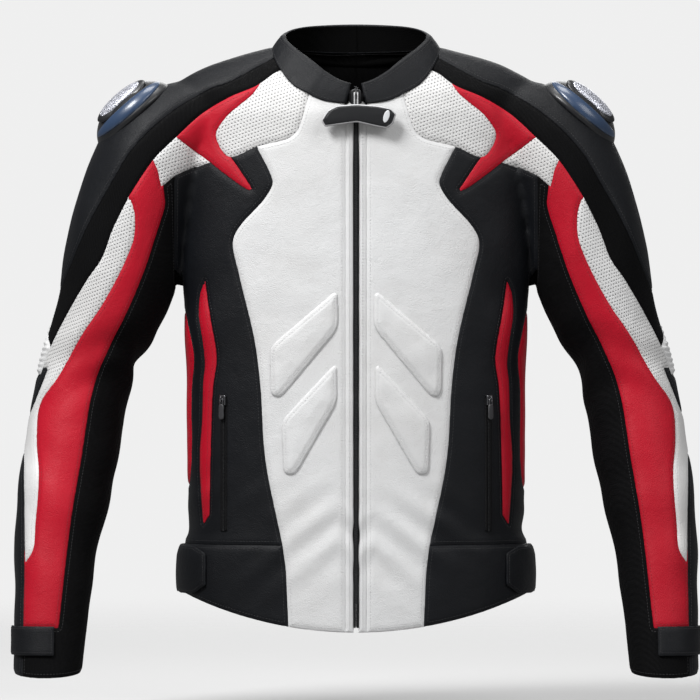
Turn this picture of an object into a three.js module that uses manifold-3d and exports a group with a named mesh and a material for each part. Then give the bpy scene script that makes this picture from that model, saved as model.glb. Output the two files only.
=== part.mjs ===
// Leather riding jacket, size M, held upright as if worn.
// Millimetres, +Z up, the front faces -Y, +X is the wearer's left.
// The origin is the centre of the neck opening at the height of the front collar seam.
// Everything is shaped on the wearer's right (-X) and mirrored for the left.
import * as THREE from 'three';
import { mergeVertices } from 'three/addons/utils/BufferGeometryUtils.js';
import Module from 'manifold-3d';

const wasm = await Module();
wasm.setup();

// ---- driving dimensions ----
const GAP = 0.3;
const LEATHER = 2.6;
const LINING = 1.2;
const LINING_GAP = 0.8;
const PAD_HEIGHT = 4.5;
const STRAP_THICKNESS = 3;
const WELD = 0.001;
const SNAP = 0.01;
const FAR = 700;
const END_RUN = 25;

const CHEST_HALF = 192;
const WAIST_HALF = 186;
const BAND_HALF = 196;
const BACK_DEPTH = 118;
const NECK_HALF = 90;
const NECK_FRONT = 74;
const NECK_BACK = 62;
const NECK_SIDE_RISE = 59;
const FRONT_SLOPE = 0.07;
const BODY_LENGTH = 581;
const BAND_TOP = 487;
const SLEEVE_GIRTH = 1;

const TORSO_POINTS = 24;
const SLEEVE_POINTS = 16;
const SQUARENESS = 2.4;
const SHOULDER_SQUARENESS = 2;

// Half width, back depth and squareness of the body at each height.
// The front centre is a straight line, so that the main zip runs straight.
const TORSO = [
  [-BODY_LENGTH - 19, BAND_HALF - 5, BACK_DEPTH - 13, SQUARENESS],
  [-548, BAND_HALF - 2, BACK_DEPTH - 11, SQUARENESS],
  [-520, BAND_HALF, BACK_DEPTH - 10, SQUARENESS],
  [-492, BAND_HALF - 2, BACK_DEPTH - 11, SQUARENESS],
  [-474, WAIST_HALF - 2, BACK_DEPTH - 14, SQUARENESS],
  [-420, WAIST_HALF, BACK_DEPTH - 11, SQUARENESS],
  [-260, WAIST_HALF + 2, BACK_DEPTH - 1, SQUARENESS],
  [-200, CHEST_HALF, BACK_DEPTH, SQUARENESS],
  [-90, CHEST_HALF, BACK_DEPTH - 5, SQUARENESS],
  [-50, CHEST_HALF + 2, BACK_DEPTH - 16, 2.2],
  [-15, CHEST_HALF + 10, BACK_DEPTH - 30, SHOULDER_SQUARENESS],
  [8, CHEST_HALF + 11, BACK_DEPTH - 40, SHOULDER_SQUARENESS],
  [22, CHEST_HALF + 3, BACK_DEPTH - 46, SHOULDER_SQUARENESS],
  [33, CHEST_HALF - 17, BACK_DEPTH - 50, SHOULDER_SQUARENESS],
  [42, CHEST_HALF - 38, BACK_DEPTH - 52, SHOULDER_SQUARENESS],
  [51, CHEST_HALF - 68, NECK_BACK + 2, SHOULDER_SQUARENESS],
  [NECK_SIDE_RISE, NECK_HALF + 4, NECK_BACK - 4, SHOULDER_SQUARENESS],
];
// Depth of the body in front of the neck's centre line at the shoulder heights.
const SHOULDER_FRONT = [
  [-50, NECK_FRONT + 3], [-15, 75], [8, 67], [22, 57],
  [33, 50], [42, 43], [51, 35], [59, 28],
];

// Centre x, y, z, half width and half depth of the right sleeve, shoulder to cuff.
const SLEEVE = [
  [-140, 5, -20, 40, 45],
  [-184, 4, -26, 50, 55],
  [-214, 2, -48, 60, 63],
  [-234, 0, -86, 63, 67],
  [-249, -2, -135, 64, 68],
  [-258, -4, -180, 65, 67],
  [-267, -6, -225, 64, 65],
  [-288, -7, -268, 54, 60],
  [-298, -9, -300, 52, 57],
  [-307, -20, -350, 52, 55],
  [-314, -34, -397, 52, 54],
  [-322, -49, -443, 50, 51],
  [-328, -66, -497, 45, 47],
  [-331, -83, -550, 41, 43],
  [-334, -104, -616, 37.5, 39],
];
const ELBOW = { y: -8, z: -279, half: 12, reach: 150 };
const ARMHOLE_X = -198;

// Half widths in front of the body of what shows at the centre line.
const ZIP_SLOT = 2.9;
const ZIP_TAPE = 12;
const ZIP_TOP = 9;
const TEETH = 2.3;
const MAIN_SLIDER = { width: 11, height: 17, thickness: 3, bar: 3, gap: 6, rise: 7, wire: 1.8, seat: GAP };
const POCKET_SLIDER = {
  width: 8, height: 11, thickness: 2, bar: 1, gap: 3.4, rise: 2.6, wire: 1.2, seat: 0.5,
};
const LEG = 1.4;
const PLAY = 0.4;
const EYE_WALL = 1.1;
const TAB_THICKNESS = 4;
const TAG = { width: 5, height: 17, thickness: 1.6 };
const BADGE = { x: 33, z: -22, width: 7, height: 15, lean: 0.3, depth: 1.2, proud: 0.3 };
const POCKET = { x: -144, z: -330, lean: 0.05, turn: 0.62 };
const ARMOUR = { x: -240, y: -4, z: -22, lean: 0.72, length: 52, width: 44, height: 36 };
const INSERT = { length: 37, width: 22, height: 31, lift: 9 };

// ---- seams of the right front, as x, z seen from the front ----
const BAND_UPPER = [
  [-45, 70], [-78, 54], [-139, 20], [-187, -3], [-215, -24], [-246, -56], [-273, -100], [-297, -143], [-322, -199],
  [-350, -252],
];
const BAND_LOWER = [
  [-45, 36], [-84, 32], [-109, 15], [-139, 2], [-166, -14], [-196, -42], [-220, -66], [-233, -84], [-248, -107],
];
const STRIP_OUTER = [[-248, -107], [-266, -143], [-295, -199], [-320, -240], [-336, -271], [-348, -303]];
const STRIP_CUFF = [[-348, -303], [-361, -350], [-365, -385], [-363, -430], [-361, -482], [-360, -506]];
const STRIP_RED = [
  [-360, -506], [-351, -491], [-349, -464], [-346, -410], [-350, -370], [-346, -332], [-327, -305], [-298, -256],
  [-263, -201], [-243, -155], [-242, -124], [-248, -107],
];
const RED_INNER = [
  [-214, -60], [-209, -92], [-208, -116], [-218, -150], [-242, -211], [-267, -268], [-286, -315], [-299, -396],
  [-309, -460], [-321, -575],
];
const WHITE_EDGE = [
  [-109, -53], [-94, -82], [-91, -95], [-101, -112], [-128, -141], [-135, -157], [-128, -193], [-111, -264],
  [-104, -320], [-101, -374], [-89, -446], [-78, -500], [-74, -563],
];
const PERFORATED = [
  [-90, 34], [-48, 42], [-51, 8], [-55, -10], [-62, -31], [-75, -44], [-109, -53], [-139, -64], [-152, -48], [-152, -34],
  [-139, -16], [-113, 6],
];
const FLASH_LOWER = [[-204, -36], [-161, -69], [-139, -86], [-112, -102]];
const FLASH_TIP = [[-112, -102], [-132, -72], [-139, -64]];
const STRIPE_INNER = [[-166, -200], [-160, -240], [-153, -284], [-158, -325], [-160, -396], [-161, -455]];
const STRIPE_OUTER = [[-168, -466], [-171, -396], [-169, -340], [-166, -292], [-173, -238], [-166, -200]];
const PAD_UPPER = [
  [-20, -215], [-20, -242], [-27, -260], [-76, -322], [-87, -326], [-94, -300], [-93, -270], [-37, -218],
];
const PAD_LOWER = [
  [-26, -294], [-22, -332], [-37, -367], [-60, -402], [-73, -414], [-80, -390], [-78, -348], [-32, -295],
];
const TAB_OUTLINE = [
  [-38, -26], [-31, -15], [-21, -10], [-2.6, -8.4], [2.6, -8.4], [23, -10], [38, -13], [44, -19], [40, -30], [33, -35],
  [23, -33], [1, -28], [-21, -31], [-34, -33],
];
const WAIST_STRAP = {
  outline: [[-163, -497], [-163, -531], [-176, -541], [-230, -541], [-230, -490], [-176, -490]],
  rear: 30,
};
const CUFF_STRAP = { top: -574, height: 31, end: -326, rear: -84 };
const BACK_YOKE = [[-66, 90], [-92, 40], [-150, -20], [-215, -70], [-247, -135], [-263, -200]];

const FINISH = {
  white: ['#dfdfe0', 0.5, 0],
  perforated: ['#d6d6d4', 0.6, 0],
  red: ['#b8152c', 0.5, 0],
  black: ['#1d1f23', 0.5, 0],
  stretch: ['#0e0e0f', 0.9, 0],
  lining: ['#0b0b0c', 0.95, 0],
  tape: ['#101012', 0.85, 0],
  metal: ['#3a3b3e', 0.35, 1],
  moulded: ['#151618', 0.45, 0],
  badge: ['#c9cacc', 0.4, 0],
  mesh: ['#b5b6c4', 0.35, 0.6],
};

const group = new THREE.Group();
group.name = 'leather_riding_jacket';

// ---- building tools ----
function solid(geometry) {
  const bare = geometry.clone();
  bare.deleteAttribute('normal');
  bare.deleteAttribute('uv');
  const merged = mergeVertices(bare, WELD);
  return new wasm.Manifold(new wasm.Mesh({
    numProp: 3,
    vertProperties: new Float32Array(merged.attributes.position.array),
    triVerts: new Uint32Array(merged.index.array),
  }));
}

function geometryOf(body) {
  const mesh = body.getMesh();
  const geometry = new THREE.BufferGeometry();
  geometry.setAttribute('position', new THREE.BufferAttribute(new Float32Array(mesh.vertProperties), 3));
  geometry.setIndex(new THREE.BufferAttribute(new Uint32Array(mesh.triVerts), 1));
  return geometry;
}

function mirrored(geometry) {
  const other = geometry.clone();
  other.scale(-1, 1, 1);
  const index = other.index.array;
  for (let i = 0; i < index.length; i += 3) {
    [index[i], index[i + 1]] = [index[i + 1], index[i]];
  }
  return other;
}

function place(name, geometry, finish) {
  const [color, roughness, metalness] = FINISH[finish];
  const mesh = new THREE.Mesh(geometry, new THREE.MeshStandardMaterial({ color, roughness, metalness }));
  mesh.name = name;
  mesh.geometry.computeVertexNormals();
  group.add(mesh);
}

function one(name, body, finish) {
  place(name, geometryOf(body), finish);
}

function pair(name, body, finish) {
  const geometry = geometryOf(body);
  place(`${name}_right`, geometry, finish);
  place(`${name}_left`, mirrored(geometry), finish);
}

// A closed body through equal rings of points, the ends closed by fans.
function loft(rings) {
  const count = rings[0].length;
  const points = rings.flat();
  const index = [];
  for (let r = 0; r + 1 < rings.length; r += 1) {
    for (let i = 0; i < count; i += 1) {
      const j = (i + 1) % count;
      const [a, b, c, d] = [r * count + i, r * count + j, (r + 1) * count + i, (r + 1) * count + j];
      index.push(a, b, d, a, d, c);
    }
  }
  [[0, 1], [rings.length - 1, -1]].forEach(([r, way]) => {
    const middle = new THREE.Vector3();
    rings[r].forEach((p) => middle.addScaledVector(p, 1 / count));
    points.push(middle);
    for (let i = 0; i < count; i += 1) {
      const pairOf = [r * count + i, r * count + ((i + 1) % count)];
      const [a, b] = way > 0 ? pairOf.reverse() : pairOf;
      index.push(a, b, points.length - 1);
    }
  });
  const geometry = new THREE.BufferGeometry().setFromPoints(points);
  geometry.setIndex(index);
  let volume = 0;
  for (let i = 0; i < index.length; i += 3) {
    const [a, b, c] = [points[index[i]], points[index[i + 1]], points[index[i + 2]]];
    volume += a.dot(new THREE.Vector3().crossVectors(b, c));
  }
  if (volume < 0) {
    for (let i = 0; i < index.length; i += 3) {
      [index[i], index[i + 1]] = [index[i + 1], index[i]];
    }
    geometry.setIndex(index);
  }
  return solid(geometry);
}

// The same rings, each point moved along the surface's own normal.
function offsetRings(rings, distance) {
  const count = rings[0].length;
  return rings.map((ring, r) => ring.map((p, i) => {
    const along = new THREE.Vector3().subVectors(
      rings[Math.min(r + 1, rings.length - 1)][i],
      rings[Math.max(r - 1, 0)][i],
    );
    const around = new THREE.Vector3().subVectors(ring[(i + 1) % count], ring[(i + count - 1) % count]);
    const normal = new THREE.Vector3().crossVectors(around, along).normalize();
    return p.clone().addScaledVector(normal, distance);
  }));
}

function superRing(count, halfWidth, front, back, power, z) {
  const ring = [];
  for (let i = 0; i < count; i += 1) {
    const t = (2 * Math.PI * i) / count - Math.PI / 2;
    const [c, s] = [Math.cos(t), Math.sin(t)];
    const x = halfWidth * Math.sign(c) * Math.abs(c) ** (2 / power);
    const y = (s < 0 ? front : back) * Math.sign(s) * Math.abs(s) ** (2 / power);
    ring.push(new THREE.Vector3(x, y, z));
  }
  return ring;
}

function between(table, z, column) {
  const last = table.length - 1;
  if (z <= table[0][0]) {
    return table[0][column];
  }
  for (let i = 0; i < last; i += 1) {
    const [low, high] = [table[i], table[i + 1]];
    if (z <= high[0]) {
      return low[column] + ((high[column] - low[column]) * (z - low[0])) / (high[0] - low[0]);
    }
  }
  return table[last][column];
}

function frontDepth(z) {
  return z < SHOULDER_FRONT[0][0] ? NECK_FRONT - FRONT_SLOPE * z : between(SHOULDER_FRONT, z, 1);
}

// The front centre's depth along the straight zip line.
function zipDepth(z) {
  return NECK_FRONT - FRONT_SLOPE * z;
}

function torsoRings() {
  return TORSO.map(([z, half, back, power]) => superRing(TORSO_POINTS, half, frontDepth(z), back, power, z));
}

// The body's form, grown or shrunk by a distance, past its own ends where shrunk.
function torsoForm(distance) {
  const rings = offsetRings(torsoRings(), distance);
  rings[0].forEach((p) => { p.z = TORSO[0][0] + (distance < 0 ? -END_RUN : 0); });
  rings[rings.length - 1].forEach((p) => { p.z = NECK_SIDE_RISE + distance; });
  return loft(rings);
}

function sleeveRings() {
  const centres = SLEEVE.map(([x, y, z]) => new THREE.Vector3(x, y, z));
  return SLEEVE.map(([, , , half, depth], k) => {
    const along = new THREE.Vector3().subVectors(
      centres[Math.min(k + 1, centres.length - 1)],
      centres[Math.max(k - 1, 0)],
    ).normalize();
    const across = new THREE.Vector3().crossVectors(along, new THREE.Vector3(0, 1, 0)).normalize();
    const fore = new THREE.Vector3().crossVectors(across, along).normalize();
    const ring = [];
    for (let i = 0; i < SLEEVE_POINTS; i += 1) {
      const t = (2 * Math.PI * i) / SLEEVE_POINTS;
      ring.push(centres[k].clone()
        .addScaledVector(across, half * SLEEVE_GIRTH * Math.cos(t))
        .addScaledVector(fore, depth * SLEEVE_GIRTH * Math.sin(t)));
    }
    return ring;
  });
}

function sleeveForm(distance) {
  const rings = offsetRings(sleeveRings(), -distance);
  if (distance < 0) {
    const last = rings[rings.length - 1];
    const before = rings[rings.length - 2];
    rings.push(last.map((p, i) => p.clone().addScaledVector(
      new THREE.Vector3().subVectors(p, before[i]).normalize(),
      END_RUN,
    )));
  }
  return loft(rings);
}

function smooth(points, steps = 3) {
  const knots = points.map(([x, z]) => new THREE.Vector3(x, 0, z));
  const curve = new THREE.CatmullRomCurve3(knots, false, 'centripetal');
  return curve.getPoints((points.length - 1) * steps).map((p) => [p.x, p.z]);
}

function area(outline) {
  return outline.reduce((sum, [x, z], i) => {
    const [u, w] = outline[(i + 1) % outline.length];
    return sum + x * w - u * z;
  }, 0) / 2;
}

// The outline moved outward by a distance, its corners mitred.
function grown(outline, distance) {
  const turn = Math.sign(area(outline));
  const count = outline.length;
  return outline.map(([x, z], i) => {
    const [px, pz] = outline[(i + count - 1) % count];
    const [nx, nz] = outline[(i + 1) % count];
    const a = new THREE.Vector2(x - px, z - pz).normalize();
    const b = new THREE.Vector2(nx - x, nz - z).normalize();
    const normal = new THREE.Vector2(a.y + b.y, -a.x - b.x).multiplyScalar(turn).normalize();
    const share = Math.max(0.4, normal.x * a.y * turn - normal.y * a.x * turn);
    return [x + (normal.x * distance) / share, z + (normal.y * distance) / share];
  });
}

// A prism over an outline given as x, z, running along Y.
function prism(outline, from = -FAR, to = FAR) {
  const shape = new THREE.Shape(outline.map(([x, z]) => new THREE.Vector2(x, z)));
  const geometry = new THREE.ExtrudeGeometry(shape, { depth: to - from, bevelEnabled: false });
  geometry.rotateX(Math.PI / 2);
  geometry.translate(0, to, 0);
  return solid(geometry);
}

// A prism over an outline given as y, z, running along X.
function sidePrism(outline, from = -FAR, to = FAR) {
  const shape = new THREE.Shape(outline.map(([y, z]) => new THREE.Vector2(y, z)));
  const geometry = new THREE.ExtrudeGeometry(shape, { depth: to - from, bevelEnabled: false });
  geometry.rotateX(Math.PI / 2);
  geometry.rotateZ(Math.PI / 2);
  geometry.translate(from, 0, 0);
  return solid(geometry);
}

function box(x, y, z) {
  const geometry = new THREE.BoxGeometry(x[1] - x[0], y[1] - y[0], z[1] - z[0]);
  geometry.translate((x[0] + x[1]) / 2, (y[0] + y[1]) / 2, (z[0] + z[1]) / 2);
  return solid(geometry);
}

function rod(radius, from, to, sides = 10) {
  const start = new THREE.Vector3(...from);
  const axis = new THREE.Vector3(...to).sub(start);
  const geometry = new THREE.CylinderGeometry(radius, radius, axis.length(), sides);
  geometry.translate(0, axis.length() / 2, 0);
  const turn = new THREE.Quaternion().setFromUnitVectors(new THREE.Vector3(0, 1, 0), axis.normalize());
  geometry.applyQuaternion(turn);
  geometry.translate(start.x, start.y, start.z);
  return solid(geometry);
}

// ---- the garment's shell ----
const bothSleeves = (distance) => {
  const right = sleeveForm(distance);
  return right.add(solid(mirrored(geometryOf(right))));
};
const outerForm = torsoForm(0).add(bothSleeves(0));
const innerForm = torsoForm(-LEATHER).add(bothSleeves(-LEATHER));

// The neck: a leaning ring from the seam up to the collar's open V.
const neckSeam = (y) => (y < 0 ? NECK_SIDE_RISE * (1 + y / NECK_FRONT) : NECK_SIDE_RISE + 0.05 * y);
const COLLAR = { wall: 4, topHalf: 67, topFront: 62, topBack: 60, sink: 14 };
function neckRing(share, inset, drop = 0) {
  const ring = [];
  const half = NECK_HALF + (COLLAR.topHalf - NECK_HALF) * share - inset;
  const front = NECK_FRONT + (COLLAR.topFront - NECK_FRONT) * share - inset;
  const back = NECK_BACK + (COLLAR.topBack - NECK_BACK) * share - inset;
  for (let i = 0; i < TORSO_POINTS; i += 1) {
    const t = (2 * Math.PI * i) / TORSO_POINTS - Math.PI / 2;
    const y = (Math.sin(t) < 0 ? front : back) * Math.sin(t);
    const seam = neckSeam(Math.max(-NECK_FRONT, y));
    ring.push(new THREE.Vector3(half * Math.cos(t), y, seam + share * 40 - drop));
  }
  return ring;
}
const neckPlug = (inset, drop) => loft([neckRing(0, inset, drop), neckRing(0, inset), neckRing(1, inset)]);
const COLLAR_TOP = [[-120, -33], [-66, 15], [-51, 35], [-32, 54], [-10, 70], [60, 84], [120, 90], [120, -33]];

const hemFront = [];
for (let x = -BAND_HALF - 10; x <= BAND_HALF + 10; x += (2 * BAND_HALF + 20) / 16) {
  hemFront.push([x, -BODY_LENGTH + 40 * (x / 190) ** 2]);
}
const hemBack = hemFront.map(([x, z]) => [x, z * 0.4 - 541 * 0.6 - 3]);
const hemCut = (curve, from, to) => {
  const end = curve[0][1];
  return prism([...curve, [FAR, end], [FAR, -FAR], [-FAR, -FAR], [-FAR, end]], from, to);
};

const neckHole = neckPlug(COLLAR.wall, 70);
const belowHem = hemCut(hemFront, -FAR, 0).add(hemCut(hemBack, -WELD, FAR));
const torsoColumn = box([-215, 215], [-FAR, FAR], [-FAR, FAR]);
const shell = outerForm.subtract(innerForm).subtract(neckHole).subtract(belowHem.intersect(torsoColumn));
const rightShell = shell.intersect(box([-FAR, 0], [-FAR, FAR], [-FAR, FAR]));

// ---- cutting tools ----
// Front and back meet at the side seams, which on a sleeve follow its centre line.
const sleeveLine = SLEEVE.slice(4).map(([, y, z]) => [y, z]);
const everywhere = box([-FAR, FAR], [-FAR, FAR], [-FAR, FAR]);
function frontSpace(shift) {
  const line = sleeveLine.map(([y, z]) => [y + shift, z]);
  const body = box([-205, FAR], [-FAR, shift], [-FAR, FAR]);
  const behind = [[-125 + shift, -FAR], [-FAR, -FAR], [-FAR, FAR]];
  return body.add(sidePrism([[shift, FAR], ...line, ...behind], -FAR, -205 + WELD));
}
const front = frontSpace(0);
const nearFront = frontSpace(GAP);
const back = everywhere.subtract(frontSpace(-WELD * 20));
const nearBack = everywhere.subtract(frontSpace(-GAP));

const foreSpace = box([-FAR, -ZIP_SLOT], [-FAR, 0], [-FAR, FAR]);
const aftSpace = box([-FAR, WELD], [-WELD, FAR], [-FAR, FAR]);
let rest = shell.intersect(foreSpace.add(aftSpace));
function take(outline) {
  const piece = rest.intersect(prism(outline).intersect(front));
  rest = rest.subtract(prism(grown(outline, GAP)).intersect(nearFront));
  return piece;
}

function elbowPrism(grow) {
  const half = ELBOW.half + grow;
  const run = ELBOW.reach;
  return sidePrism([
    [ELBOW.y + run, ELBOW.z + half], [ELBOW.y, ELBOW.z + half], [ELBOW.y - run, ELBOW.z + half + run],
    [ELBOW.y - run, ELBOW.z - half - run], [ELBOW.y, ELBOW.z - half], [ELBOW.y + run, ELBOW.z - half],
  ], -FAR, ARMHOLE_X);
}
const elbowZone = elbowPrism(0);
const elbowKeepOut = elbowPrism(GAP);
const belowElbow = box([-FAR, ARMHOLE_X], [-FAR, FAR], [-FAR, ELBOW.z]);
const sleeveSide = (grow) => box([-FAR, ARMHOLE_X + grow], [-FAR, FAR], [-FAR, FAR]);
const upperPart = (piece) => piece.subtract(elbowKeepOut).subtract(belowElbow);
const lowerPart = (piece) => piece.intersect(belowElbow).subtract(elbowKeepOut);

// ---- seams, from the shoulder in ----
const upperLine = smooth(BAND_UPPER, 2);
const stripLine = smooth(STRIP_OUTER, 2);
const lowerLine = smooth(BAND_LOWER, 2).reverse().slice(1);
const band = take([...upperLine, [-370, -300], ...[...stripLine].reverse(), ...lowerLine]);

const outerFrontOutline = [...upperLine, [-FAR, -252], [-FAR, 200], [-40, 200]];
const outerCuffOutline = [
  [-338, -294], [-361, -350], [-365, -385], [-363, -430], [-361, -482], [-361, -FAR], [-FAR, -FAR], [-FAR, -294],
];
const outerBackOutline = [
  ...smooth(BACK_YOKE, 2), ...SLEEVE.slice(6).map(([x, , z]) => [x, z]),
  [-337, -FAR], [-FAR, -FAR], [-FAR, 200], [-66, 200],
];
const outerSpace = (grow, fore, aft) => prism(grown(outerFrontOutline, grow))
  .add(prism(grown(outerCuffOutline, grow)))
  .intersect(fore).add(prism(grown(outerBackOutline, grow)).intersect(aft));
const outer = rest.intersect(outerSpace(0, front, back));
rest = rest.subtract(outerSpace(GAP, nearFront, nearBack));

const perforated = take(smooth([...PERFORATED, PERFORATED[0]], 2).slice(1));
const flash = take([
  [-80, 60], [-196, -20], ...smooth(FLASH_LOWER, 2), ...smooth(FLASH_TIP, 2).slice(1), [-110, -30], [-80, 0],
]);
const patch = take([
  [-190, -30], [-240, -66], [-222, -66], [-216, -79], [-212, -97], [-198, -85], [-182, -77], [-150, -66],
]);
const strip = take([...stripLine, ...smooth(STRIP_CUFF, 2).slice(1), ...smooth(STRIP_RED, 2).slice(1, -1)]);
const red = take([
  ...smooth(RED_INNER, 2), [-362, -575], [-362, -506], [-356, -440], [-356, -350], [-318, -280],
  [-262, -150], [-252, -100], [-236, -70],
]);
const frontPanel = take([
  [10, 30], [10, -FAR], [-72, -FAR], ...smooth(WHITE_EDGE, 2).reverse(), [-90, -30], [-60, 30],
]);
const stripe = take([...smooth(STRIPE_INNER, 2), ...smooth(STRIPE_OUTER, 2).slice(0, -1)]);

const sleeveRest = rest.intersect(sleeveSide(0));
const torsoRest = rest.subtract(sleeveSide(GAP));
const bandSpace = (grow) => box([-215, FAR], [-FAR, FAR], [-FAR, -BAND_TOP + grow]);
const chestSide = torsoRest.subtract(bandSpace(GAP)).intersect(front);
const backHalf = torsoRest.subtract(bandSpace(GAP)).subtract(nearFront);
const bandHalf = torsoRest.intersect(bandSpace(0));
// Both halves of a piece that crosses the centre, its cut edge laid exactly on X = 0.
function whole(half) {
  const geometry = geometryOf(half);
  const points = geometry.attributes.position;
  for (let i = 0; i < points.count; i += 1) {
    points.setX(i, Math.abs(points.getX(i)) < SNAP ? 0 : points.getX(i));
  }
  return solid(geometry).add(solid(mirrored(geometry)));
}
const ring = shell.intersect(elbowZone);

pair('front_panel', frontPanel, 'white');
pair('chest_perforated', perforated, 'perforated');
pair('chest_flash', flash, 'red');
pair('shoulder_patch', patch, 'perforated');
pair('chest_side', chestSide, 'black');
pair('front_stripe', stripe, 'red');
one('back_panel', whole(backHalf), 'black');
one('waistband', whole(bandHalf), 'black');
pair('shoulder_leather', upperPart(outer), 'black');
pair('shoulder_stretch', upperPart(band), 'stretch');
pair('upper_perforated', upperPart(strip), 'perforated');
pair('upper_red', upperPart(red), 'red');
pair('upper_inner', upperPart(sleeveRest), 'stretch');
pair('elbow_bellows', ring.subtract(nearFront), 'white');
pair('elbow_front', ring.intersect(front), 'red');
pair('forearm_outer', lowerPart(outer), 'black');
pair('forearm_white', lowerPart(strip), 'white');
pair('forearm_red', lowerPart(red), 'red');
pair('forearm_inner', lowerPart(sleeveRest), 'stretch');


// ---- collar and lining ----
const collarTop = sidePrism(COLLAR_TOP.slice(0, -1).concat([[120, -100], [-120, -100]]));
const slot = box([-ZIP_SLOT, ZIP_SLOT], [-FAR, 0], [-FAR, FAR]);
const collar = neckPlug(0, COLLAR.sink).subtract(neckPlug(COLLAR.wall, 70, 30)).intersect(collarTop)
  .subtract(torsoForm(GAP)).subtract(slot);
one('collar', collar, 'black');

const liningSkin = torsoForm(-LEATHER - LINING_GAP).subtract(torsoForm(-LEATHER - LINING_GAP - LINING));
const liningSlot = box([-ZIP_TAPE - GAP, ZIP_TAPE + GAP], [-FAR, 0], [-FAR, FAR]);
const liningHem = box([-FAR, FAR], [-FAR, FAR], [-FAR, 20 - BODY_LENGTH]).add(belowHem);
const lining = liningSkin
  .subtract(bothSleeves(-LEATHER))
  .subtract(neckHole)
  .subtract(liningHem)
  .subtract(liningSlot)
  .subtract(box([-FAR, FAR], [-FAR, FAR], [NECK_SIDE_RISE - 12, FAR]));
one('lining', whole(lining.intersect(box([-FAR, 0], [-FAR, FAR], [-FAR, FAR]))), 'lining');

// ---- main zip ----
const tapeBox = box([-ZIP_TAPE, -PLAY / 2], [-FAR, -20], [4 - BODY_LENGTH, -4]);
const ZIP_BOTTOM = 4 - BODY_LENGTH;
const teethLine = (depth) => [ZIP_BOTTOM, ZIP_TOP].map((z) => [depth - zipDepth(z), z]);
const teethBack = teethLine(LEATHER + LINING_GAP + LINING / 2).reverse();
const teeth = sidePrism([...teethLine(0.8), ...teethBack], -TEETH, -PLAY / 2);
pair('zip_tape', liningSkin.intersect(tapeBox).subtract(belowHem).add(teeth), 'tape');

// A slider on the surface, with a staple that its pull hangs from, out along -Y.
function sliderBody({ width, height, thickness, bar, gap, rise, wire, seat }) {
  const out = seat + thickness;
  const plate = box([-width / 2, width / 2], [-out, -seat], [-height / 2, height / 2]);
  const leg = box([gap / 2, gap / 2 + LEG], [-out - rise - wire / 2, -out + 0.2], [bar - LEG, bar + LEG]);
  const barRod = rod(wire / 2, [-gap / 2 - LEG / 2, -out - rise, bar], [gap / 2 + LEG / 2, -out - rise, bar]);
  return plate.add(leg).add(solid(mirrored(geometryOf(leg)))).add(barRod);
}

function pullBody({ thickness, bar, gap, rise, wire, seat }, outline, depth) {
  const y = -seat - thickness - rise;
  const half = gap / 2 - PLAY;
  const eye = rod(wire / 2 + PLAY + EYE_WALL, [-half, y, bar], [half, y, bar], 12);
  const stem = box([-half, half], [y - depth / 2, y + depth / 2], [outline[3][1] - 1, bar]);
  const hole = rod(wire / 2 + PLAY, [-half - 1, y, bar], [half + 1, y, bar]);
  return prism(outline, y - depth / 2, y + depth / 2).add(stem).add(eye).subtract(hole);
}

const leanFront = new THREE.Matrix4()
  .makeRotationX(Math.atan(-FRONT_SLOPE))
  .setPosition(0, -zipDepth(0), 0);
const posed = (body, matrix) => solid(geometryOf(body).applyMatrix4(matrix));
one('zip_slider', posed(sliderBody(MAIN_SLIDER), leanFront), 'metal');

const badgeShape = (grow) => {
  const half = BADGE.height / 2 - BADGE.width / 2;
  const outline = [];
  for (let i = 0; i < 16; i += 1) {
    const t = (2 * Math.PI * (i + 0.5)) / 16;
    const r = BADGE.width / 2 + grow;
    const [u, w] = [r * Math.cos(t), r * Math.sin(t) + (Math.sin(t) > 0 ? half : -half)];
    const [c, n] = [Math.cos(BADGE.lean), Math.sin(BADGE.lean)];
    outline.push([BADGE.x + u * c + w * n, BADGE.z - u * n + w * c]);
  }
  return outline;
};
const tabFront = -MAIN_SLIDER.seat - MAIN_SLIDER.thickness - MAIN_SLIDER.rise - TAB_THICKNESS / 2;
const badgeFloor = tabFront + BADGE.depth;
const recess = prism(badgeShape(GAP), -FAR, badgeFloor);
const mainPull = pullBody(MAIN_SLIDER, TAB_OUTLINE, TAB_THICKNESS).subtract(recess);
one('zip_pull', posed(mainPull, leanFront), 'moulded');
const badge = prism(badgeShape(0), tabFront - BADGE.proud, badgeFloor - GAP);
one('pull_badge', posed(badge, leanFront), 'badge');

// ---- pocket zip sliders ----
const surfaceY = (x, z) => {
  const half = between(TORSO, z, 1);
  const power = between(TORSO, z, 3);
  return -frontDepth(z) * (1 - (Math.abs(x) / half) ** power) ** (1 / power);
};
const pocketPose = new THREE.Matrix4().makeRotationZ(-POCKET.turn)
  .multiply(new THREE.Matrix4().makeRotationX(Math.atan(-POCKET.lean)))
  .setPosition(POCKET.x, surfaceY(POCKET.x, POCKET.z), POCKET.z);
const tagTop = POCKET_SLIDER.bar - 1.5;
const tagOutline = [
  [TAG.width / 2, tagTop - 3], [TAG.width / 2, tagTop - TAG.height], [-TAG.width / 2, tagTop - TAG.height],
  [-TAG.width / 2, tagTop - 3], [-1.2, tagTop], [1.2, tagTop],
];
pair('pocket_slider', posed(sliderBody(POCKET_SLIDER), pocketPose).subtract(torsoForm(GAP)), 'metal');
pair('pocket_pull', posed(pullBody(POCKET_SLIDER, tagOutline, TAG.thickness), pocketPose), 'metal');

// ---- rib pads, straps and shoulder armour ----
const padSkin = torsoForm(GAP + PAD_HEIGHT).subtract(torsoForm(GAP));
const pad = (outline) => padSkin.intersect(prism(smooth([...outline, outline[0]], 2).slice(1), -FAR, 0));
pair('rib_pad_upper', pad(PAD_UPPER), 'white');
pair('rib_pad_lower', pad(PAD_LOWER), 'white');

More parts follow.
